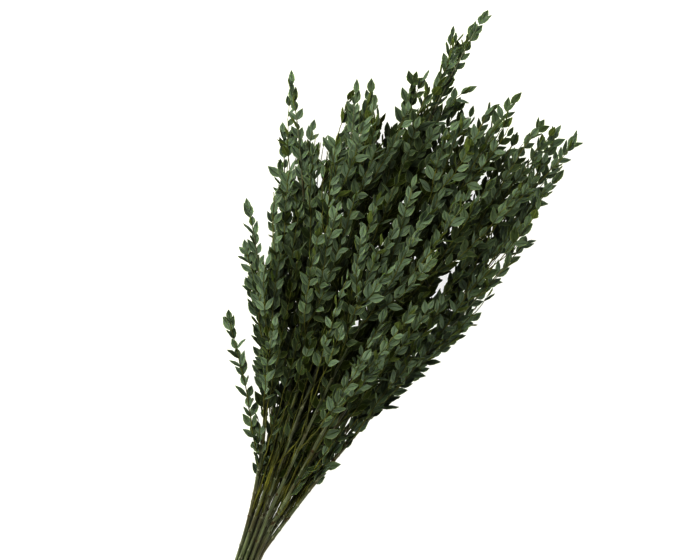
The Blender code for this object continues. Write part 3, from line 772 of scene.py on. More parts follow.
# %% Helpers for modelling
# Places nearer to each other than this count as the same.
SAME_PLACE = 0.01 * MM


def select_only(pieces):
    """Selects these objects and no other, and makes the first one active."""
    bpy.ops.object.select_all(action="DESELECT")
    for piece in pieces:
        piece.select_set(True)
    bpy.context.view_layer.objects.active = pieces[0]


def select_vertices(wanted):
    """Selects, in edit mode, the vertices that a test of their place picks."""
    mesh = bmesh.from_edit_mesh(bpy.context.object.data)
    for vertex in mesh.verts:
        vertex.select = wanted(vertex)
    mesh.select_flush_mode()
    bmesh.update_edit_mesh(bpy.context.object.data)


def near(value, wanted):
    return abs(value - wanted) < SAME_PLACE


# %% Model the leaf
LEAF_WIDTH = 8.0 * MM
MIDRIB_DEPTH = 1.35 * MM
RIM_DROOP = 0.3 * MM
# Each row's place along the leaf and its width, as shares of the leaf's own.
LEAF_ROWS = ((0.0, 0.06), (0.07, 0.09), (0.20, 0.60), (0.41, 1.0), (0.63, 0.89), (0.83, 0.43), (1.0, 0.0))
LEAF_CREASE = math.radians(60)
# The blade, without the stalk and the tip, as shares of the length.
BLADE = (0.2, 0.9)


def in_blade(vertex):
    return BLADE[0] < vertex.co.y / LEAF_LENGTH < BLADE[1]


bpy.ops.mesh.primitive_grid_add(x_subdivisions=4, y_subdivisions=len(LEAF_ROWS) - 1, size=LEAF_LENGTH,
                                location=(0, LEAF_LENGTH / 2, 0))
bpy.ops.object.transform_apply(location=True)
leaf = bpy.context.object
leaf.name = "leaf"
bpy.ops.object.mode_set(mode="EDIT")
for number, (share, width) in enumerate(LEAF_ROWS):
    drawn_at = number / (len(LEAF_ROWS) - 1) * LEAF_LENGTH
    select_vertices(lambda vertex: near(vertex.co.y, drawn_at))
    bpy.ops.transform.resize(value=(width * LEAF_WIDTH / LEAF_LENGTH, 1, 1), center_override=(0, 0, 0))
    bpy.ops.transform.translate(value=(0, share * LEAF_LENGTH - drawn_at, 0))
# The tip's row has no width left, so its vertices become one.
select_vertices(lambda vertex: near(vertex.co.y, LEAF_LENGTH))
bpy.ops.mesh.merge(type="CENTER")
# The midrib sinks into a fold, and the rim droops.
select_vertices(lambda vertex: near(vertex.co.x, 0) and in_blade(vertex))
bpy.ops.transform.translate(value=(0, 0, -MIDRIB_DEPTH))
select_vertices(lambda vertex: vertex.is_boundary and in_blade(vertex))
bpy.ops.transform.translate(value=(0, 0, -RIM_DROOP))
# The underside is a copy, turned over and let down everywhere but at the rim.
bpy.ops.mesh.select_all(action="SELECT")
bpy.ops.mesh.duplicate()
bpy.ops.mesh.flip_normals()
select_vertices(lambda vertex: vertex.select and not vertex.is_boundary)
bpy.ops.transform.translate(value=(0, 0, -LEAF_THICKNESS))
bpy.ops.mesh.select_all(action="SELECT")
bpy.ops.mesh.remove_doubles(threshold=SAME_PLACE)
bpy.ops.object.mode_set(mode="OBJECT")
print("one leaf has", len(leaf.data.polygons), "faces")

# %% Give the leaf its two faces
for material in (upper_face, under_face):
    leaf.data.materials.append(material)
bpy.ops.object.mode_set(mode="EDIT")
mesh = bmesh.from_edit_mesh(leaf.data)
for face in mesh.faces:
    face.select = face.normal.z < 0
bmesh.update_edit_mesh(leaf.data)
leaf.active_material_index = 1
bpy.ops.object.material_slot_assign()
bpy.ops.object.mode_set(mode="OBJECT")
bpy.ops.object.shade_smooth_by_angle(angle=LEAF_CREASE)
leaf.data.attributes.new("tone", "FLOAT", "POINT")
print(sum(face.material_index for face in leaf.data.polygons), "faces are the underside")

# %% [markdown]
# ## Leaves of several bends
#
# No two leaves are bent alike: most arch a little backwards, some are nearly flat and a few curl.
# Each kind is a copy of the leaf, turned row by row about the last row, as a strip of card is
# bent by hand.

# %% Bend the kinds of leaf
LEAF_BENDS = (4, 10, 18, 28, -10, 14, 42, 0)

leaf_kinds = []
for bend in LEAF_BENDS:
    select_only([leaf])
    bpy.ops.object.duplicate()
    kind = bpy.context.object
    bpy.ops.object.mode_set(mode="EDIT")
    row_places = [share * LEAF_LENGTH for share, _ in LEAF_ROWS[1:-1]]
    turn = math.radians(bend) / len(row_places)
    for number, place in enumerate(row_places):
        # The rows beyond have already turned, so they are found by their own number along the leaf.
        mesh = bmesh.from_edit_mesh(kind.data)
        for vertex in mesh.verts:
            vertex.select = leaf.data.vertices[vertex.index].co.y > place + SAME_PLACE
        mesh.select_flush_mode()
        bmesh.update_edit_mesh(kind.data)
        row = [vertex.co for vertex in mesh.verts if near(leaf.data.vertices[vertex.index].co.y, place)]
        middle = sum(row, Vector()) / len(row)
        bpy.ops.transform.rotate(value=turn, orient_axis="X", center_override=middle)
    bpy.ops.object.mode_set(mode="OBJECT")
    kind.name = "leaf bent %d" % bend
    leaf_kinds.append(kind)
deepest = max(kind.dimensions.z for kind in leaf_kinds)
print(len(leaf_kinds), "kinds of leaf; the most bent one is", round(deepest / MM, 1), "mm deep")

# %% [markdown]
# ## Bark, twig and cut wood
#
# The stems are two years old. Their bark is smooth and a little shiny, olive green with paler streaks
# along the stem, and brown in patches. A twig of this year is yellow-olive and duller. The cut ends
# show pale wood round a darker pith. Streaks have to run along the stem whichever way it leans, so
# they are drawn on a UV map that holds the real length along the stem and the share round it.

# %% Make the wood materials
STREAK_LENGTH = 26 * MM
STREAKS_ROUND = 5
# Each stem reads the pattern of streaks at a place of its own.
STEMS_APART = 37.0
PATCH_SIZE = 35 * MM
# Which part of each noise pattern is spread over its two colours.
STREAK_RANGE = (0.36, 0.66)
BROWN_RANGE = (0.47, 0.72)
SPECKLE_RANGE = (0.38, 0.68)
BROWN_MOST = 0.75
BARK_ROUGHNESS = 0.38
BARK_SHEEN = 0.65
TWIG_SHEEN = 0.15


def bark_material():
    material, tree, shader = new_material("gum bark, dried smooth")
    flat = add_node(tree, "ShaderNodeUVMap", uv_map="UVMap")
    place = add_node(tree, "ShaderNodeSeparateXYZ", {0: flat.outputs[0]})
    # Going up and back down again round the stem leaves no seam.
    folded = add_node(tree, "ShaderNodeMath", {0: place.outputs[1], 1: 0.5}, operation="PINGPONG")
    around = add_node(tree, "ShaderNodeMath", {0: folded.outputs[0], 1: 2.0 * STREAKS_ROUND},
                      operation="MULTIPLY")
    along = add_node(tree, "ShaderNodeMath", {0: place.outputs[0], 1: 1 / STREAK_LENGTH},
                     operation="MULTIPLY")
    stem_tone = add_node(tree, "ShaderNodeAttribute", attribute_name="tone")
    apart = add_node(tree, "ShaderNodeMath", {0: stem_tone.outputs["Fac"], 1: STEMS_APART},
                     operation="MULTIPLY")
    streak_place = add_node(tree, "ShaderNodeCombineXYZ", {0: along.outputs[0], 1: around.outputs[0],
                                                           2: apart.outputs[0]})
    streaks = add_node(tree, "ShaderNodeTexNoise", {"Vector": streak_place.outputs[0], "Scale": 1.0,
                                                    "Detail": 4.0, "Roughness": 0.65})
    where = add_node(tree, "ShaderNodeTexCoord")
    patches = add_node(tree, "ShaderNodeTexNoise", {"Vector": where.outputs["Object"],
                                                    "Scale": 1 / PATCH_SIZE, "Detail": 2.0})
    streak_share = add_node(tree, "ShaderNodeMapRange", {0: streaks.outputs[0], 1: STREAK_RANGE[0],
                                                           2: STREAK_RANGE[1]})
    green = add_node(tree, "ShaderNodeMix", {0: streak_share.outputs[0], MIX_A: linear("#191C0C"),
                                             MIX_B: linear("#4C5440")}, data_type="RGBA")
    brown_share = add_node(tree, "ShaderNodeMapRange", {0: patches.outputs[0], 1: BROWN_RANGE[0],
                                                          2: BROWN_RANGE[1], 4: BROWN_MOST})
    bark = add_node(tree, "ShaderNodeMix", {0: brown_share.outputs[0], MIX_A: green.outputs[MIX_RESULT],
                                            MIX_B: linear("#33281A")}, data_type="RGBA")
    cover(tree, shader, bark.outputs[MIX_RESULT], streaks.outputs[0], 0.5, 0.3 * MM)
    shader.inputs["Roughness"].default_value = BARK_ROUGHNESS
    shader.inputs["Specular IOR Level"].default_value = BARK_SHEEN
    return material


def speckled_material(name, colour, speckle, grain, roughness):
    material, tree, shader = new_material(name)
    where = add_node(tree, "ShaderNodeTexCoord")
    speckles = add_node(tree, "ShaderNodeTexNoise", {"Vector": where.outputs["Object"], "Scale": 1 / grain,
                                                     "Detail": 3.0})
    share = add_node(tree, "ShaderNodeMapRange", {0: speckles.outputs[0], 1: SPECKLE_RANGE[0],
                                                    2: SPECKLE_RANGE[1]})
    mixed = add_node(tree, "ShaderNodeMix", {0: share.outputs[0], MIX_A: linear(colour),
                                             MIX_B: linear(speckle)}, data_type="RGBA")
    cover(tree, shader, mixed.outputs[MIX_RESULT], speckles.outputs[0], 0.4, 0.2 * MM)
    shader.inputs["Roughness"].default_value = roughness
    shader.inputs["Specular IOR Level"].default_value = TWIG_SHEEN
    return material


bark = bark_material()
twig_bark = speckled_material("young gum twig", "#2C2F16", "#4F4F23", 12 * MM, 0.5)
leaf_scar = speckled_material("dried leaf scar", "#241D14", "#3C3222", 0.6 * MM, 0.8)
cut_wood = speckled_material("cut gum wood", "#B5A688", "#D0C5A8", 0.5 * MM, 0.85)

# %% [markdown]
# ## The woody stems
#
# A stem could be extruded ring by ring. A curve with a round bevel does the same with less work: it
# is a path through the middle of the stem, and each of its points has its own radius. The stem
# swells a little wherever a shoot or an old leaf left it, so the curve gets five close points there.
# Then the curve is made a mesh, its ends are closed, and its UV map is spread to real lengths. Rings
# are inset into the cut end, and one side of each swelling is painted brown, as an old leaf's scar.

# %% Find each stem's collars and radii
COLLAR = ((-2.4 * MM, 1.0), (-0.9 * MM, 1.12), (0.0, 1.18), (0.9 * MM, 1.08), (2.2 * MM, 1.0))
SCAR_SPACING = (24 * MM, 40 * MM)
COLLARS_APART = 8 * MM
LEADER_TIP_RADIUS = 0.35 * MM
WOOD_THINS_LATE = 1.5


def radius_along(stem, distances):
    """The wood's radius. It keeps its thickness for long, and its leader thins out to a twig."""
    wood_top = stem["top"] * WOOD_SHARE
    thinned = np.clip(distances / wood_top, 0, 1) ** WOOD_THINS_LATE
    wood = stem["radius"] + (STEM_TOP_DIAMETER / 2 - stem["radius"]) * thinned
    leader = np.interp(distances, (wood_top, stem["top"]), (1, LEADER_TIP_RADIUS / (STEM_TOP_DIAMETER / 2)))
    return wood * leader


def collar_places(stem, rng):
    """Where shoots leave the wood, and where old leaves did, from just above the band."""
    places = [shoot["from"] for shoot in stem["shoots"]]
    places += [sprig["from"] for sprig in stem["sprigs"] if sprig["on_wood"]]
    place = -CUT_END + rng.uniform(*SCAR_SPACING)
    while place < stem["top"] * WOOD_SHARE:
        if min(abs(place - other) for other in places) > COLLARS_APART:
            places.append(place)
        place += rng.uniform(*SCAR_SPACING)
    return sorted(places)


print("a stem's radius runs from", round(STEM_DIAMETER / 2 / MM, 2), "to", LEADER_TIP_RADIUS / MM, "mm")

# %% Helpers for curves
WAVER_LENGTH = 45 * MM
WAVER_BEYOND = 60 * MM
STRAIGHT_START = 120 * MM
# The caps' corners lie on those of the tube's ends, so a very small distance merges them.
CAP_MERGE = 0.001 * MM


def wavering(route, amount, rng):
    """The route with a slow waver to the sides, as wood that dried has, and none at its start."""
    reached = distances_along(route)
    knots = np.arange(0, reached[-1] + WAVER_BEYOND, WAVER_LENGTH)
    offsets = rng.uniform(-1, 1, (len(knots), 3)) * amount
    offsets[knots < STRAIGHT_START] = 0
    smooth = np.stack([np.interp(reached, knots, offsets[:, axis]) for axis in range(3)], axis=1)
    return route + smooth


def curve_object(name, bevel_detail):
    """An empty curve whose points' radii are real lengths."""
    data = bpy.data.curves.new(name, "CURVE")
    data.dimensions = "3D"
    data.bevel_depth = 1.0
    data.bevel_resolution = bevel_detail
    data.use_fill_caps = True
    made = bpy.data.objects.new(name, data)
    bpy.context.scene.collection.objects.link(made)
    return made


def add_path(curve, points, radii):
    path = curve.data.splines.new("POLY")
    path.points.add(len(points) - 1)
    path.points.foreach_set("co", np.column_stack([points, np.ones(len(points))]).ravel())
    path.points.foreach_set("radius", radii)
    path.use_smooth = True


def to_mesh(curve):
    """Turns the curve into a mesh with closed ends."""
    select_only([curve])
    bpy.ops.object.convert(target="MESH")
    made = bpy.context.object
    bpy.ops.object.mode_set(mode="EDIT")
    bpy.ops.mesh.select_all(action="SELECT")
    bpy.ops.mesh.remove_doubles(threshold=CAP_MERGE)
    bpy.ops.object.mode_set(mode="OBJECT")
    return made


def give_tone(made, tone):
    layer = made.data.attributes.get("tone") or made.data.attributes.new("tone", "FLOAT", "POINT")
    layer.data.foreach_set("value", np.full(len(made.data.vertices), tone))


# %% Draw the stems as curves
STEM_STEP = 10 * MM
STEM_WAVER = 0.7 * MM
WOOD_SIDES_DETAIL = 3
# Round a collar, its own points take the place of the even ones.
COLLAR_REACH = 3 * MM

rng = np.random.default_rng(SEED)
for stem in stems:
    stem["collars"] = collar_places(stem, rng)
    marks = np.arange(0, stem["top"], STEM_STEP)
    near_collar = np.min(np.abs(marks[:, None] - np.array(stem["collars"])), axis=1) < COLLAR_REACH
    marks = [(mark, 1.0) for mark in marks[~near_collar]]
    marks += [(place + shift, swell) for place in stem["collars"] for shift, swell in COLLAR]
    marks.sort()
    distances = np.array([mark for mark, _ in marks])
    swells = np.array([swell for _, swell in marks])
    curve = curve_object("wood", WOOD_SIDES_DETAIL)
    middle = wavering(points_at(stem["route"], distances), STEM_WAVER, rng)
    add_path(curve, middle + BAND_MIDDLE, radius_along(stem, distances) * swells)
    wood = to_mesh(curve)
    uv = wood.data.uv_layers[0].data
    flat = np.zeros(len(uv) * 2)
    uv.foreach_get("uv", flat)
    flat = flat.reshape(-1, 2)
    flat[:, 0] = np.interp(flat[:, 0] * (len(distances) - 1), np.arange(len(distances)), distances)
    uv.foreach_set("uv", flat.ravel())
    give_tone(wood, stem["number"] / len(stems))
    stem["wood_mesh"] = wood
print("woody stems:", sum(len(stem["wood_mesh"].data.polygons) for stem in stems), "faces")

# %% Cut the stems' ends
# A cut end shows a rim of bark, pale wood and a small brown pith. The rings are inset into the cap.
BARK_RIM = 0.35 * MM
PITH_RADIUS = 0.4 * MM
CUT_WOOD_SLOT, SCAR_SLOT = 1, 2
# The cap's faces look back along the stem: their normal's Y is below this.
CAP_FACES_BELOW = -0.7

for stem in stems:
    wood = stem["wood_mesh"]
    select_only([wood])
    for material in (bark, cut_wood, leaf_scar):
        wood.data.materials.append(material)
    end = Vector(stem["route"][0] + BAND_MIDDLE)
    bpy.ops.object.mode_set(mode="EDIT")
    mesh = bmesh.from_edit_mesh(wood.data)
    for face in mesh.faces:
        is_near_end = (face.calc_center_median() - end).length < stem["radius"]
        face.select = face.normal.y < CAP_FACES_BELOW and is_near_end
    bmesh.update_edit_mesh(wood.data)
    bpy.ops.mesh.dissolve_faces()
    bpy.ops.mesh.inset(thickness=BARK_RIM)
    wood.active_material_index = CUT_WOOD_SLOT
    bpy.ops.object.material_slot_assign()
    bpy.ops.mesh.inset(thickness=stem["radius"] - BARK_RIM - PITH_RADIUS)
    wood.active_material_index = SCAR_SLOT
    bpy.ops.object.material_slot_assign()
    bpy.ops.object.mode_set(mode="OBJECT")
cut_faces = sum(face.material_index > 0 for stem in stems for face in stem["wood_mesh"].data.polygons)
print("cut faces:", cut_faces)

# %% Paint the leaf scars
# How far a scar reaches, in radii of its stem, and how far round: 1 is straight at its side.
SCAR_REACH = 1.4
SCAR_ROUND = 0.75

for stem in stems:
    wood = stem["wood_mesh"]
    rng = np.random.default_rng(SEED + stem["number"])
    for place in stem["collars"]:
        middle = Vector(points_at(stem["route"], [place])[0] + BAND_MIDDLE)
        turn = rng.uniform(0, 2 * math.pi)
        side = Vector((math.cos(turn), 0, math.sin(turn)))
        for face in wood.data.polygons:
            offset = face.center - middle
            if offset.length < stem["radius"] * SCAR_REACH and offset.normalized().dot(side) > SCAR_ROUND:
                face.material_index = SCAR_SLOT
print("collars with a scar:", sum(len(stem["collars"]) for stem in stems))

# %% [markdown]
# ## The twigs
#
# A shoot is 1.4 mm thick at its root and less than half of that at its tip. The sprigs are thinner,
# but those that start low are as thick as a young stem. All the twigs of a stem go into one curve, as
# one path each, and start in the middle of the wood that carries them.

# %% Draw the twigs
TWIG_RADII = (0.68 * MM, 0.3 * MM)
TWIG_DETAIL = 1
TWIG_WAVER = 0.8 * MM
TWIG_DIP = 1.5 * MM


def twig_points(route, rng):
    """The twig's route, made a little crooked: each of its points but the first is moved a little."""
    offsets = rng.uniform(-1, 1, route.shape) * TWIG_WAVER
    offsets[0] = 0
    crooked = route + offsets
    crooked[:, 2] = np.maximum(crooked[:, 2], LOWEST_TWIG - TWIG_DIP)
    return crooked


for stem in stems:
    rng = np.random.default_rng(SEED + stem["number"])
    curve = curve_object("twigs", TWIG_DETAIL)
    for twig in stem["shoots"] + stem["sprigs"]:
        thick, thin = twig.get("radii", TWIG_RADII if "rings" in twig else SPRIG_RADII)
        twig["middle"] = twig_points(twig["route"], rng)
        add_path(curve, twig["middle"] + BAND_MIDDLE, np.linspace(thick, thin, len(twig["middle"])))
    stem["twig_mesh"] = to_mesh(curve)
    stem["twig_mesh"].data.materials.append(twig_bark)
    give_tone(stem["twig_mesh"], 0.5)
print("twigs:", sum(len(stem["twig_mesh"].data.polygons) for stem in stems), "faces")

# %% [markdown]
# ## Where the leaves sit
#
# The leaves of this gum sit in opposite pairs, 8 to 14 mm apart, and each pair is a quarter turn from
# the last. Towards the tip the pairs are closer and the leaves smaller, and one leaf ends the twig.
# A leaf's stalk turns until its upper face looks to the light, which comes from above. Few leaves are
# left low on the stems, and none where the photograph shows a gap between two sprays. A leaf that
# would go into the table is laid on it. The outer leaves have the most bloom and are the palest, and
# the leaves deep in the bunch are painted darker, as painted shade.

# %% Find the leaves' places on a twig
PAIR_SPACING = 12.0 * MM
PAIR_SPACING_AT_TIP = 9.3 * MM
PAIR_SPACING_SPREAD = (0.85, 1.15)
PAIR_SIDE_SPREAD = 0.2
PAIR_TURN_SPREAD = 0.4
# No pair sits nearer to the twig's end than this, and the end's own leaf counts as further up.
LAST_PAIR_FROM_END = 2 * MM
END_LEAF_SHARE = 1.2
# The heading is read from a point a little further on, or near the twig's end a little further back.
LOOK_AHEAD = 3 * MM
LOOK_BACK = 1 * MM


def leaf_directions(heading, outwards, angle, twist):
    """A leaf's own directions: along it, across it and out of its upper face."""
    along = math.cos(angle) * heading + math.sin(angle) * outwards
    across = np.cross(heading, outwards)
    normal = math.sin(angle) * heading - math.cos(angle) * outwards
    turned = math.cos(twist) * across - math.sin(twist) * normal
    return along, turned, math.cos(twist) * normal + math.sin(twist) * across


def twist_to_light(heading, outwards, angle):
    """How far a leaf would turn about its own length to bring its upper face towards the light."""
    _, across, normal = leaf_directions(heading, outwards, angle, 0)
    return math.atan2(np.dot(UP, across), np.dot(UP, normal))


def leaf_places(middle, first, rng):
    """Each leaf of a twig: its foot, the twig's heading, the side it leaves by, and how far up it is."""
    length = distances_along(middle)[-1]
    at = first
    turn = rng.uniform(0, 2 * math.pi)
    while at < length - LAST_PAIR_FROM_END:
        share = at / length
        is_ahead = at + LOOK_AHEAD < length
        foot, beyond = points_at(middle, [at, at + LOOK_AHEAD] if is_ahead else [at - LOOK_BACK, at])
        heading = unit(beyond - foot)
        for side in (0, math.pi):
            yield foot, heading, sideways_from(heading, turn + side + rng.normal(0, PAIR_SIDE_SPREAD)), share
        turn += math.pi / 2 + rng.normal(0, PAIR_TURN_SPREAD)
        spacing = PAIR_SPACING + (PAIR_SPACING_AT_TIP - PAIR_SPACING) * share
        at += spacing * rng.uniform(*PAIR_SPACING_SPREAD)
    heading = unit(middle[-1] - middle[-2])
    yield middle[-1], heading, sideways_from(heading, turn), END_LEAF_SHARE


# %% Turn a leaf and copy it to its place
def laid_on_table(foot, along, length):
    """The directions of a leaf that lies along the table, with its tip on it."""
    flat = unit(along * (1, 1, 0))
    down = unit(flat * math.sqrt(max(length ** 2 - foot[2] ** 2, 0)) - UP * foot[2])
    across = unit(np.cross(UP, down))
    return down, across, np.cross(down, across)


def shaped_leaf(corners, foot, directions, size, slimness):
    """The corners of a leaf, turned and moved to its place."""
    along, across, normal = directions
    axes = np.stack([-across * slimness, along, normal]) * size
    return foot + corners @ axes


def leaf_copy(kind, corners, tone):
    data = kind.data.copy()
    data.vertices.foreach_set("co", (corners + BAND_MIDDLE).ravel())
    data.attributes["tone"].data.foreach_set("value", np.full(len(corners), tone))
    made = bpy.data.objects.new("leaf", data)
    bpy.context.scene.collection.objects.link(made)
    return made


kind_corners = []
for kind in leaf_kinds:
    flat = np.zeros(len(kind.data.vertices) * 3)
    kind.data.vertices.foreach_get("co", flat)
    kind_corners.append(flat.reshape(-1, 3))
print("a leaf has", len(kind_corners[0]), "corners")

# %% Find how far out in the bunch a point is
SLICE = 40 * MM
SLICES_FROM = 120 * MM
# The share of the twigs, in percent, that lies below each side of a slice.
SLICE_SIDES = (4, 96)
# Towards the tips the whole bunch counts as outer, so the leaves there get little painted shade.
TIPS = (370 * MM, 500 * MM)
TIPS_SHARE = 0.84


def bunch_slices(stems):
    """The bunch's middle and half size, across and up, in slices along it."""
    twigs = np.concatenate([twig["middle"] for stem in stems for twig in stem["shoots"] + stem["sprigs"]])
    rows = []
    for along in np.arange(SLICES_FROM, twigs[:, 1].max(), SLICE):
        here = twigs[abs(twigs[:, 1] - along) < SLICE][:, (0, 2)]
        low, high = np.percentile(here, SLICE_SIDES, axis=0)
        rows.append(np.concatenate([[along], (low + high) / 2, (high - low) / 2]))
    return np.array(rows)


def outer_share(point, slices):
    """How far out in the bunch a point is: 0 in its middle, and 1 at its surface."""
    middle_x, middle_z, half_x, half_z = (np.interp(point[1], slices[:, 0], slices[:, column])
                                          for column in range(1, 5))
    sideways = math.hypot((point[0] - middle_x) / half_x, (point[2] - middle_z) / half_z)
    return min(max(sideways, np.interp(point[1], TIPS, (0, TIPS_SHARE))), 1)


slices = bunch_slices(stems)
print(len(slices), "slices")

# %% Decide which leaves grow
# Below the first length no leaf is left on the twigs, and above the second all are.
LEAFY_FROM = (135 * MM, 215 * MM)
LEAFY_FROM_UNDERNEATH = (95 * MM, 130 * MM)
UNDERNEATH = 26 * MM
# How far along a leaf it is tested against the gaps and the outline.
LEAF_TESTED_AT = (0.5, 0.95)
# White gaps between the sprays that the photograph shows: their middles and radii, in mm.
GAPS = ((-118, 474, 5), (-68, 447, 8), (-80, 460, 6), (-102, 424, 8), (-62, 478, 6), (-10, 497, 5),
        (72, 531, 8), (95, 524, 10), (121, 517, 9), (149, 499, 7), (119, 430, 7), (131, 404, 9),
        (131, 357, 9), (-63, 419, 6), (-102, 336, 6), (-91, 356, 5), (53, 203, 6), (44, 154, 8),
        (34, 122, 6))


def has_leaf(foot, tip, is_shown, rng):
    """Whether a leaf grows there: few do low on the stems, and none where the photograph shows a gap."""
    # Every leaf takes its draw, so that the later leaves don't depend on what is decided here.
    leafy_from = LEAFY_FROM_UNDERNEATH if foot[2] < UNDERNEATH else LEAFY_FROM
    share = np.interp(foot[1], leafy_from, (0, 1))
    is_grown = rng.uniform() < share
    if is_shown:
        return True
    if not is_grown or over_bare_wood(tip):
        return False
    middle, end = (seen_from_above(foot + (tip - foot) * share) / MM for share in LEAF_TESTED_AT)
    for across, along, radius in GAPS:
        if min(math.hypot(across - x, along - y) for x, y, _ in (middle, end)) < radius:
            return False
    return inside_outline(end * MM)


# %% Grow the leaves of a twig
SIZE_AT_TIP = 0.82
SMALLER_FROM = 0.35
LEAF_SIZE = 1.03
SHOWN_SIZE = 1.06
LEAF_SIZE_SPREAD = 0.2
LEAF_WIDTH_SPREAD = 0.12
LEAF_ANGLE = math.radians(35)
LEAF_ANGLE_AT_TIP = math.radians(20)
LEAF_ANGLE_SPREAD = math.radians(14)
END_LEAF_ANGLE = 0.1
LEAF_TWIST = math.radians(42)
TURN_TO_LIGHT = 0.55
SHOWN_TWIST = math.radians(26)
SHOWN_TURN_TO_LIGHT = 0.8
MOST_TWIST = math.radians(75)
ABOVE_TABLE = 0.05 * MM
# The bloom grows from none in the bunch's middle to this much at its surface. This tone is partly
# bloom and partly painted shade, which darkens the leaves deep in the bunch.
BLOOM_AND_PAINTED_SHADE = 0.85
BLOOM_AND_PAINTED_SHADE_CURVE = 2.5
LEAF_TONE_SPREAD = 0.2
MOST_BLOOM = 0.92


def grow_leaves(middle, first, rng, tone, is_shown):
    """The leaves of one twig. One that would go into the table is laid on it."""
    grown = []
    for foot, heading, outwards, share in leaf_places(middle, first, rng):
        size = LEAF_SIZE * (1 + (SIZE_AT_TIP - 1) * max(share - SMALLER_FROM, 0) / (1 - SMALLER_FROM))
        size *= SHOWN_SIZE if is_shown else 1
        size *= 1 + LEAF_SIZE_SPREAD * rng.uniform(-1, 1)
        angle = LEAF_ANGLE + (LEAF_ANGLE_AT_TIP - LEAF_ANGLE) * share if share <= 1 else END_LEAF_ANGLE
        angle += LEAF_ANGLE_SPREAD * rng.uniform(-1, 1)
        light_share, noise = (SHOWN_TURN_TO_LIGHT, SHOWN_TWIST) if is_shown else (TURN_TO_LIGHT, LEAF_TWIST)
        twist = light_share * twist_to_light(heading, outwards, angle) + noise * rng.normal()
        twist = np.clip(twist, -MOST_TWIST, MOST_TWIST)
        number = rng.integers(len(leaf_kinds))
        slimness = 1 + LEAF_WIDTH_SPREAD * rng.uniform(-1, 1)
        directions = leaf_directions(heading, outwards, angle, twist)
        corners = shaped_leaf(kind_corners[number], foot, directions, size, slimness)
        tip = foot + directions[0] * LEAF_LENGTH * size
        if not has_leaf(foot, tip, is_shown, rng):
            continue
        if corners[:, 2].min() < 0:
            directions = laid_on_table(foot, directions[0], LEAF_LENGTH * size)
            corners = shaped_leaf(kind_corners[0], foot, directions, size, slimness)
            number = 0
            corners[:, 2] = np.maximum(corners[:, 2], ABOVE_TABLE)
        # Bloom and painted shade: the leaves deep in the bunch are painted darker. The rest of the tone is
        # random.
        bloom = BLOOM_AND_PAINTED_SHADE * outer_share(foot, slices) ** BLOOM_AND_PAINTED_SHADE_CURVE
        bloom = np.clip(bloom + tone + rng.normal(0, LEAF_TONE_SPREAD), 0, MOST_BLOOM)
        grown.append(leaf_copy(leaf_kinds[number], corners, bloom))
    return grown


# %% [markdown]
# ## Dress each stem
#
# A leafy stem is one plant piece, so its wood, twigs and leaves become one object, which stands for
# the CAD's node of that stem. Each stem is joined before the next one gets its leaves. That is much
# quicker than joining at the end, because Blender updates every object of the scene at each step.

# %% Give the stems their leaves, and join the pieces
LEADER_LEAVES_FROM = 0.55
LEADER_BEYOND_TOP = 6 * MM
LEADER_STEPS = 24
TWIG_TONES = (-0.15, 0.15)
FIRST_PAIR = 9 * MM
# A twig that starts low is bare for longer.
BARE_BELOW = 300 * MM
BARE_MOST = 75 * MM

leaf_count = 0
for stem in stems:
    rng = np.random.default_rng(SEED + stem["number"])
    leaves = []
    leader = points_at(stem["route"], np.linspace(stem["top"] * LEADER_LEAVES_FROM,
                                                  stem["top"] + LEADER_BEYOND_TOP, LEADER_STEPS))
    twigs = [(leader, 0.0, True)]
    for twig in stem["shoots"] + stem["sprigs"]:
        how_low = max(BARE_BELOW - twig["middle"][0, 1], 0) / BARE_BELOW
        bare = twig.get("bare", FIRST_PAIR + BARE_MOST * how_low)
        twigs.append((twig["middle"], bare, twig.get("is_shown", False)))
    for middle, first, is_shown in twigs:
        leaves += grow_leaves(middle, first, rng, rng.uniform(*TWIG_TONES), is_shown)
    leaf_count += len(leaves)
    select_only([stem["wood_mesh"], stem["twig_mesh"]] + leaves)
    bpy.ops.object.join()
    dressed = bpy.context.object
    dressed.name = f"dressed_stem_{stem['number'] + 1:02}"
    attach(dressed, "root")
    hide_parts(f"leafy_stem_{stem['number'] + 1:02}")
    dressed.data.calc_loop_triangles()
    print(dressed.name, len(leaves), "leaves,", len(dressed.data.loop_triangles), "triangles")
for kind in leaf_kinds + [leaf]:
    bpy.data.objects.remove(kind)
print(leaf_count, "leaves in all")

# %% [markdown]
# ## The rubber band
#
# The photograph ends above the tie, so this is the usual one: a flat natural rubber band, wound three
# times round the stems. A turn lies against the six stems at the ends of the rows. So one rounded
# profile is spun sixty degrees about each of those stems and extruded straight to the next one. The
# last profile meets the first there, and the doubled edge is merged.

# %% Make the rubber
RUBBER_GRAIN = 0.5 * MM
RUBBER_CLOUDS = 8 * MM
RUBBER_ROUGHNESS = 0.5
RUBBER_IOR = 1.52


def rubber_material():
    material, tree, shader = new_material("natural rubber band")
    where = add_node(tree, "ShaderNodeTexCoord")
    grain = add_node(tree, "ShaderNodeTexNoise", {"Vector": where.outputs["Object"],
                                                  "Scale": 1 / RUBBER_GRAIN, "Detail": 3.0})
    clouds = add_node(tree, "ShaderNodeTexNoise", {"Vector": where.outputs["Object"],
                                                   "Scale": 1 / RUBBER_CLOUDS})
    colour = add_node(tree, "ShaderNodeMix", {0: clouds.outputs[0], MIX_A: linear("#786647"),
                                              MIX_B: linear("#9A8765")}, data_type="RGBA")
    cover(tree, shader, colour.outputs[MIX_RESULT], grain.outputs[0], 0.3, 0.1 * MM)
    shader.inputs["Roughness"].default_value = RUBBER_ROUGHNESS
    shader.inputs["IOR"].default_value = RUBBER_IOR
    return material


rubber = rubber_material()

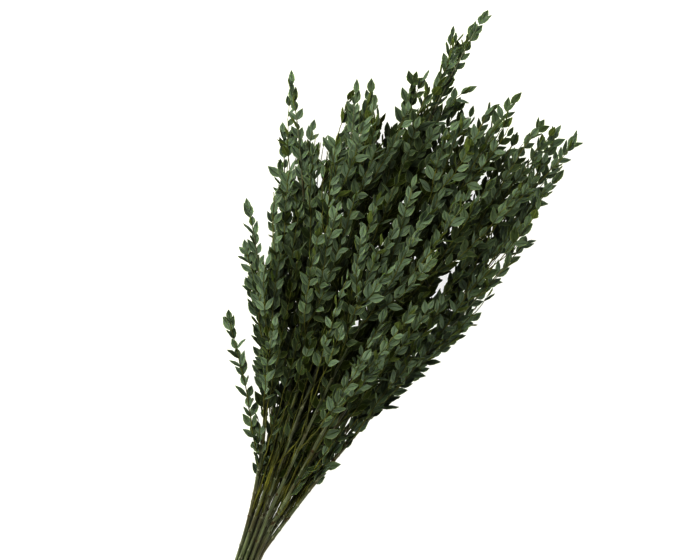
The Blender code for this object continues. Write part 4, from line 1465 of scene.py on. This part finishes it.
# %% Wind the band's turns
BAND_WIDTH = 3.0 * MM
BAND_TURNS = 3
BAND_ROUNDING = 0.5 * MM
BAND_CREASE = math.radians(50)
ARC_STEPS = 6
TURN_SKEWS = (math.radians(-1.5), math.radians(2.0), math.radians(0.5))

stem_rows = [[place for place in stem_places() if near(place[1], height)]
             for height in sorted({place[1] for place in stem_places()})]
corner_stems = [row[-1] for row in stem_rows] + [row[0] for row in reversed(stem_rows)]
middle_out = STEM_PITCH - STEM_DIAMETER / 2 + BAND_THICKNESS / 2
turns = []
for number in range(BAND_TURNS):
    across, height, _ = corner_stems[0]
    bpy.ops.object.select_all(action="DESELECT")
    bpy.ops.mesh.primitive_plane_add(size=1, rotation=(0, math.pi / 2, 0),
                                     location=(across, (number - 1) * BAND_WIDTH, height - middle_out))
    bpy.ops.object.transform_apply(location=True, rotation=True)
    band = bpy.context.object
    bpy.ops.object.mode_set(mode="EDIT")
    bpy.ops.transform.resize(value=(1, BAND_WIDTH, BAND_THICKNESS),
                             center_override=(across, (number - 1) * BAND_WIDTH, height - middle_out))
    bpy.ops.mesh.bevel(offset=BAND_ROUNDING, segments=3, affect="VERTICES")
    bpy.ops.mesh.delete(type="ONLY_FACE")
    bpy.ops.mesh.select_all(action="SELECT")
    for corner, (across, height, _) in enumerate(corner_stems):
        bpy.ops.mesh.spin(steps=ARC_STEPS, angle=math.pi / 3, center=(across, 0, height), axis=(0, 1, 0))
        following = corner_stems[(corner + 1) % len(corner_stems)]
        step = (following[0] - across, 0, following[1] - height)
        bpy.ops.mesh.extrude_region_move(TRANSFORM_OT_translate={"value": step})
    bpy.ops.mesh.select_all(action="SELECT")
    bpy.ops.mesh.remove_doubles(threshold=SAME_PLACE)
    bpy.ops.mesh.normals_make_consistent(inside=False)
    bpy.ops.transform.rotate(value=TURN_SKEWS[number], orient_axis="Z", center_override=(0, 0, 0))
    bpy.ops.transform.translate(value=BAND_MIDDLE)
    bpy.ops.object.mode_set(mode="OBJECT")
    bpy.ops.object.shade_smooth_by_angle(angle=BAND_CREASE)
    turns.append(band)
select_only(turns)
bpy.ops.object.join()
band = bpy.context.object
band.name = "wound_rubber_band"
bpy.ops.object.origin_set(type="ORIGIN_CURSOR")
band.data.materials.append(rubber)
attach(band, "root")
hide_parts("tie")
low = min(vertex.co.z for vertex in band.data.vertices)
print("band:", len(band.data.polygons), "faces, lowest at", round(low / MM, 2), "mm, against the CAD's",
      [round(value / MM, 1) for value in band.dimensions], np.round((band_high - band_low) / MM, 1))
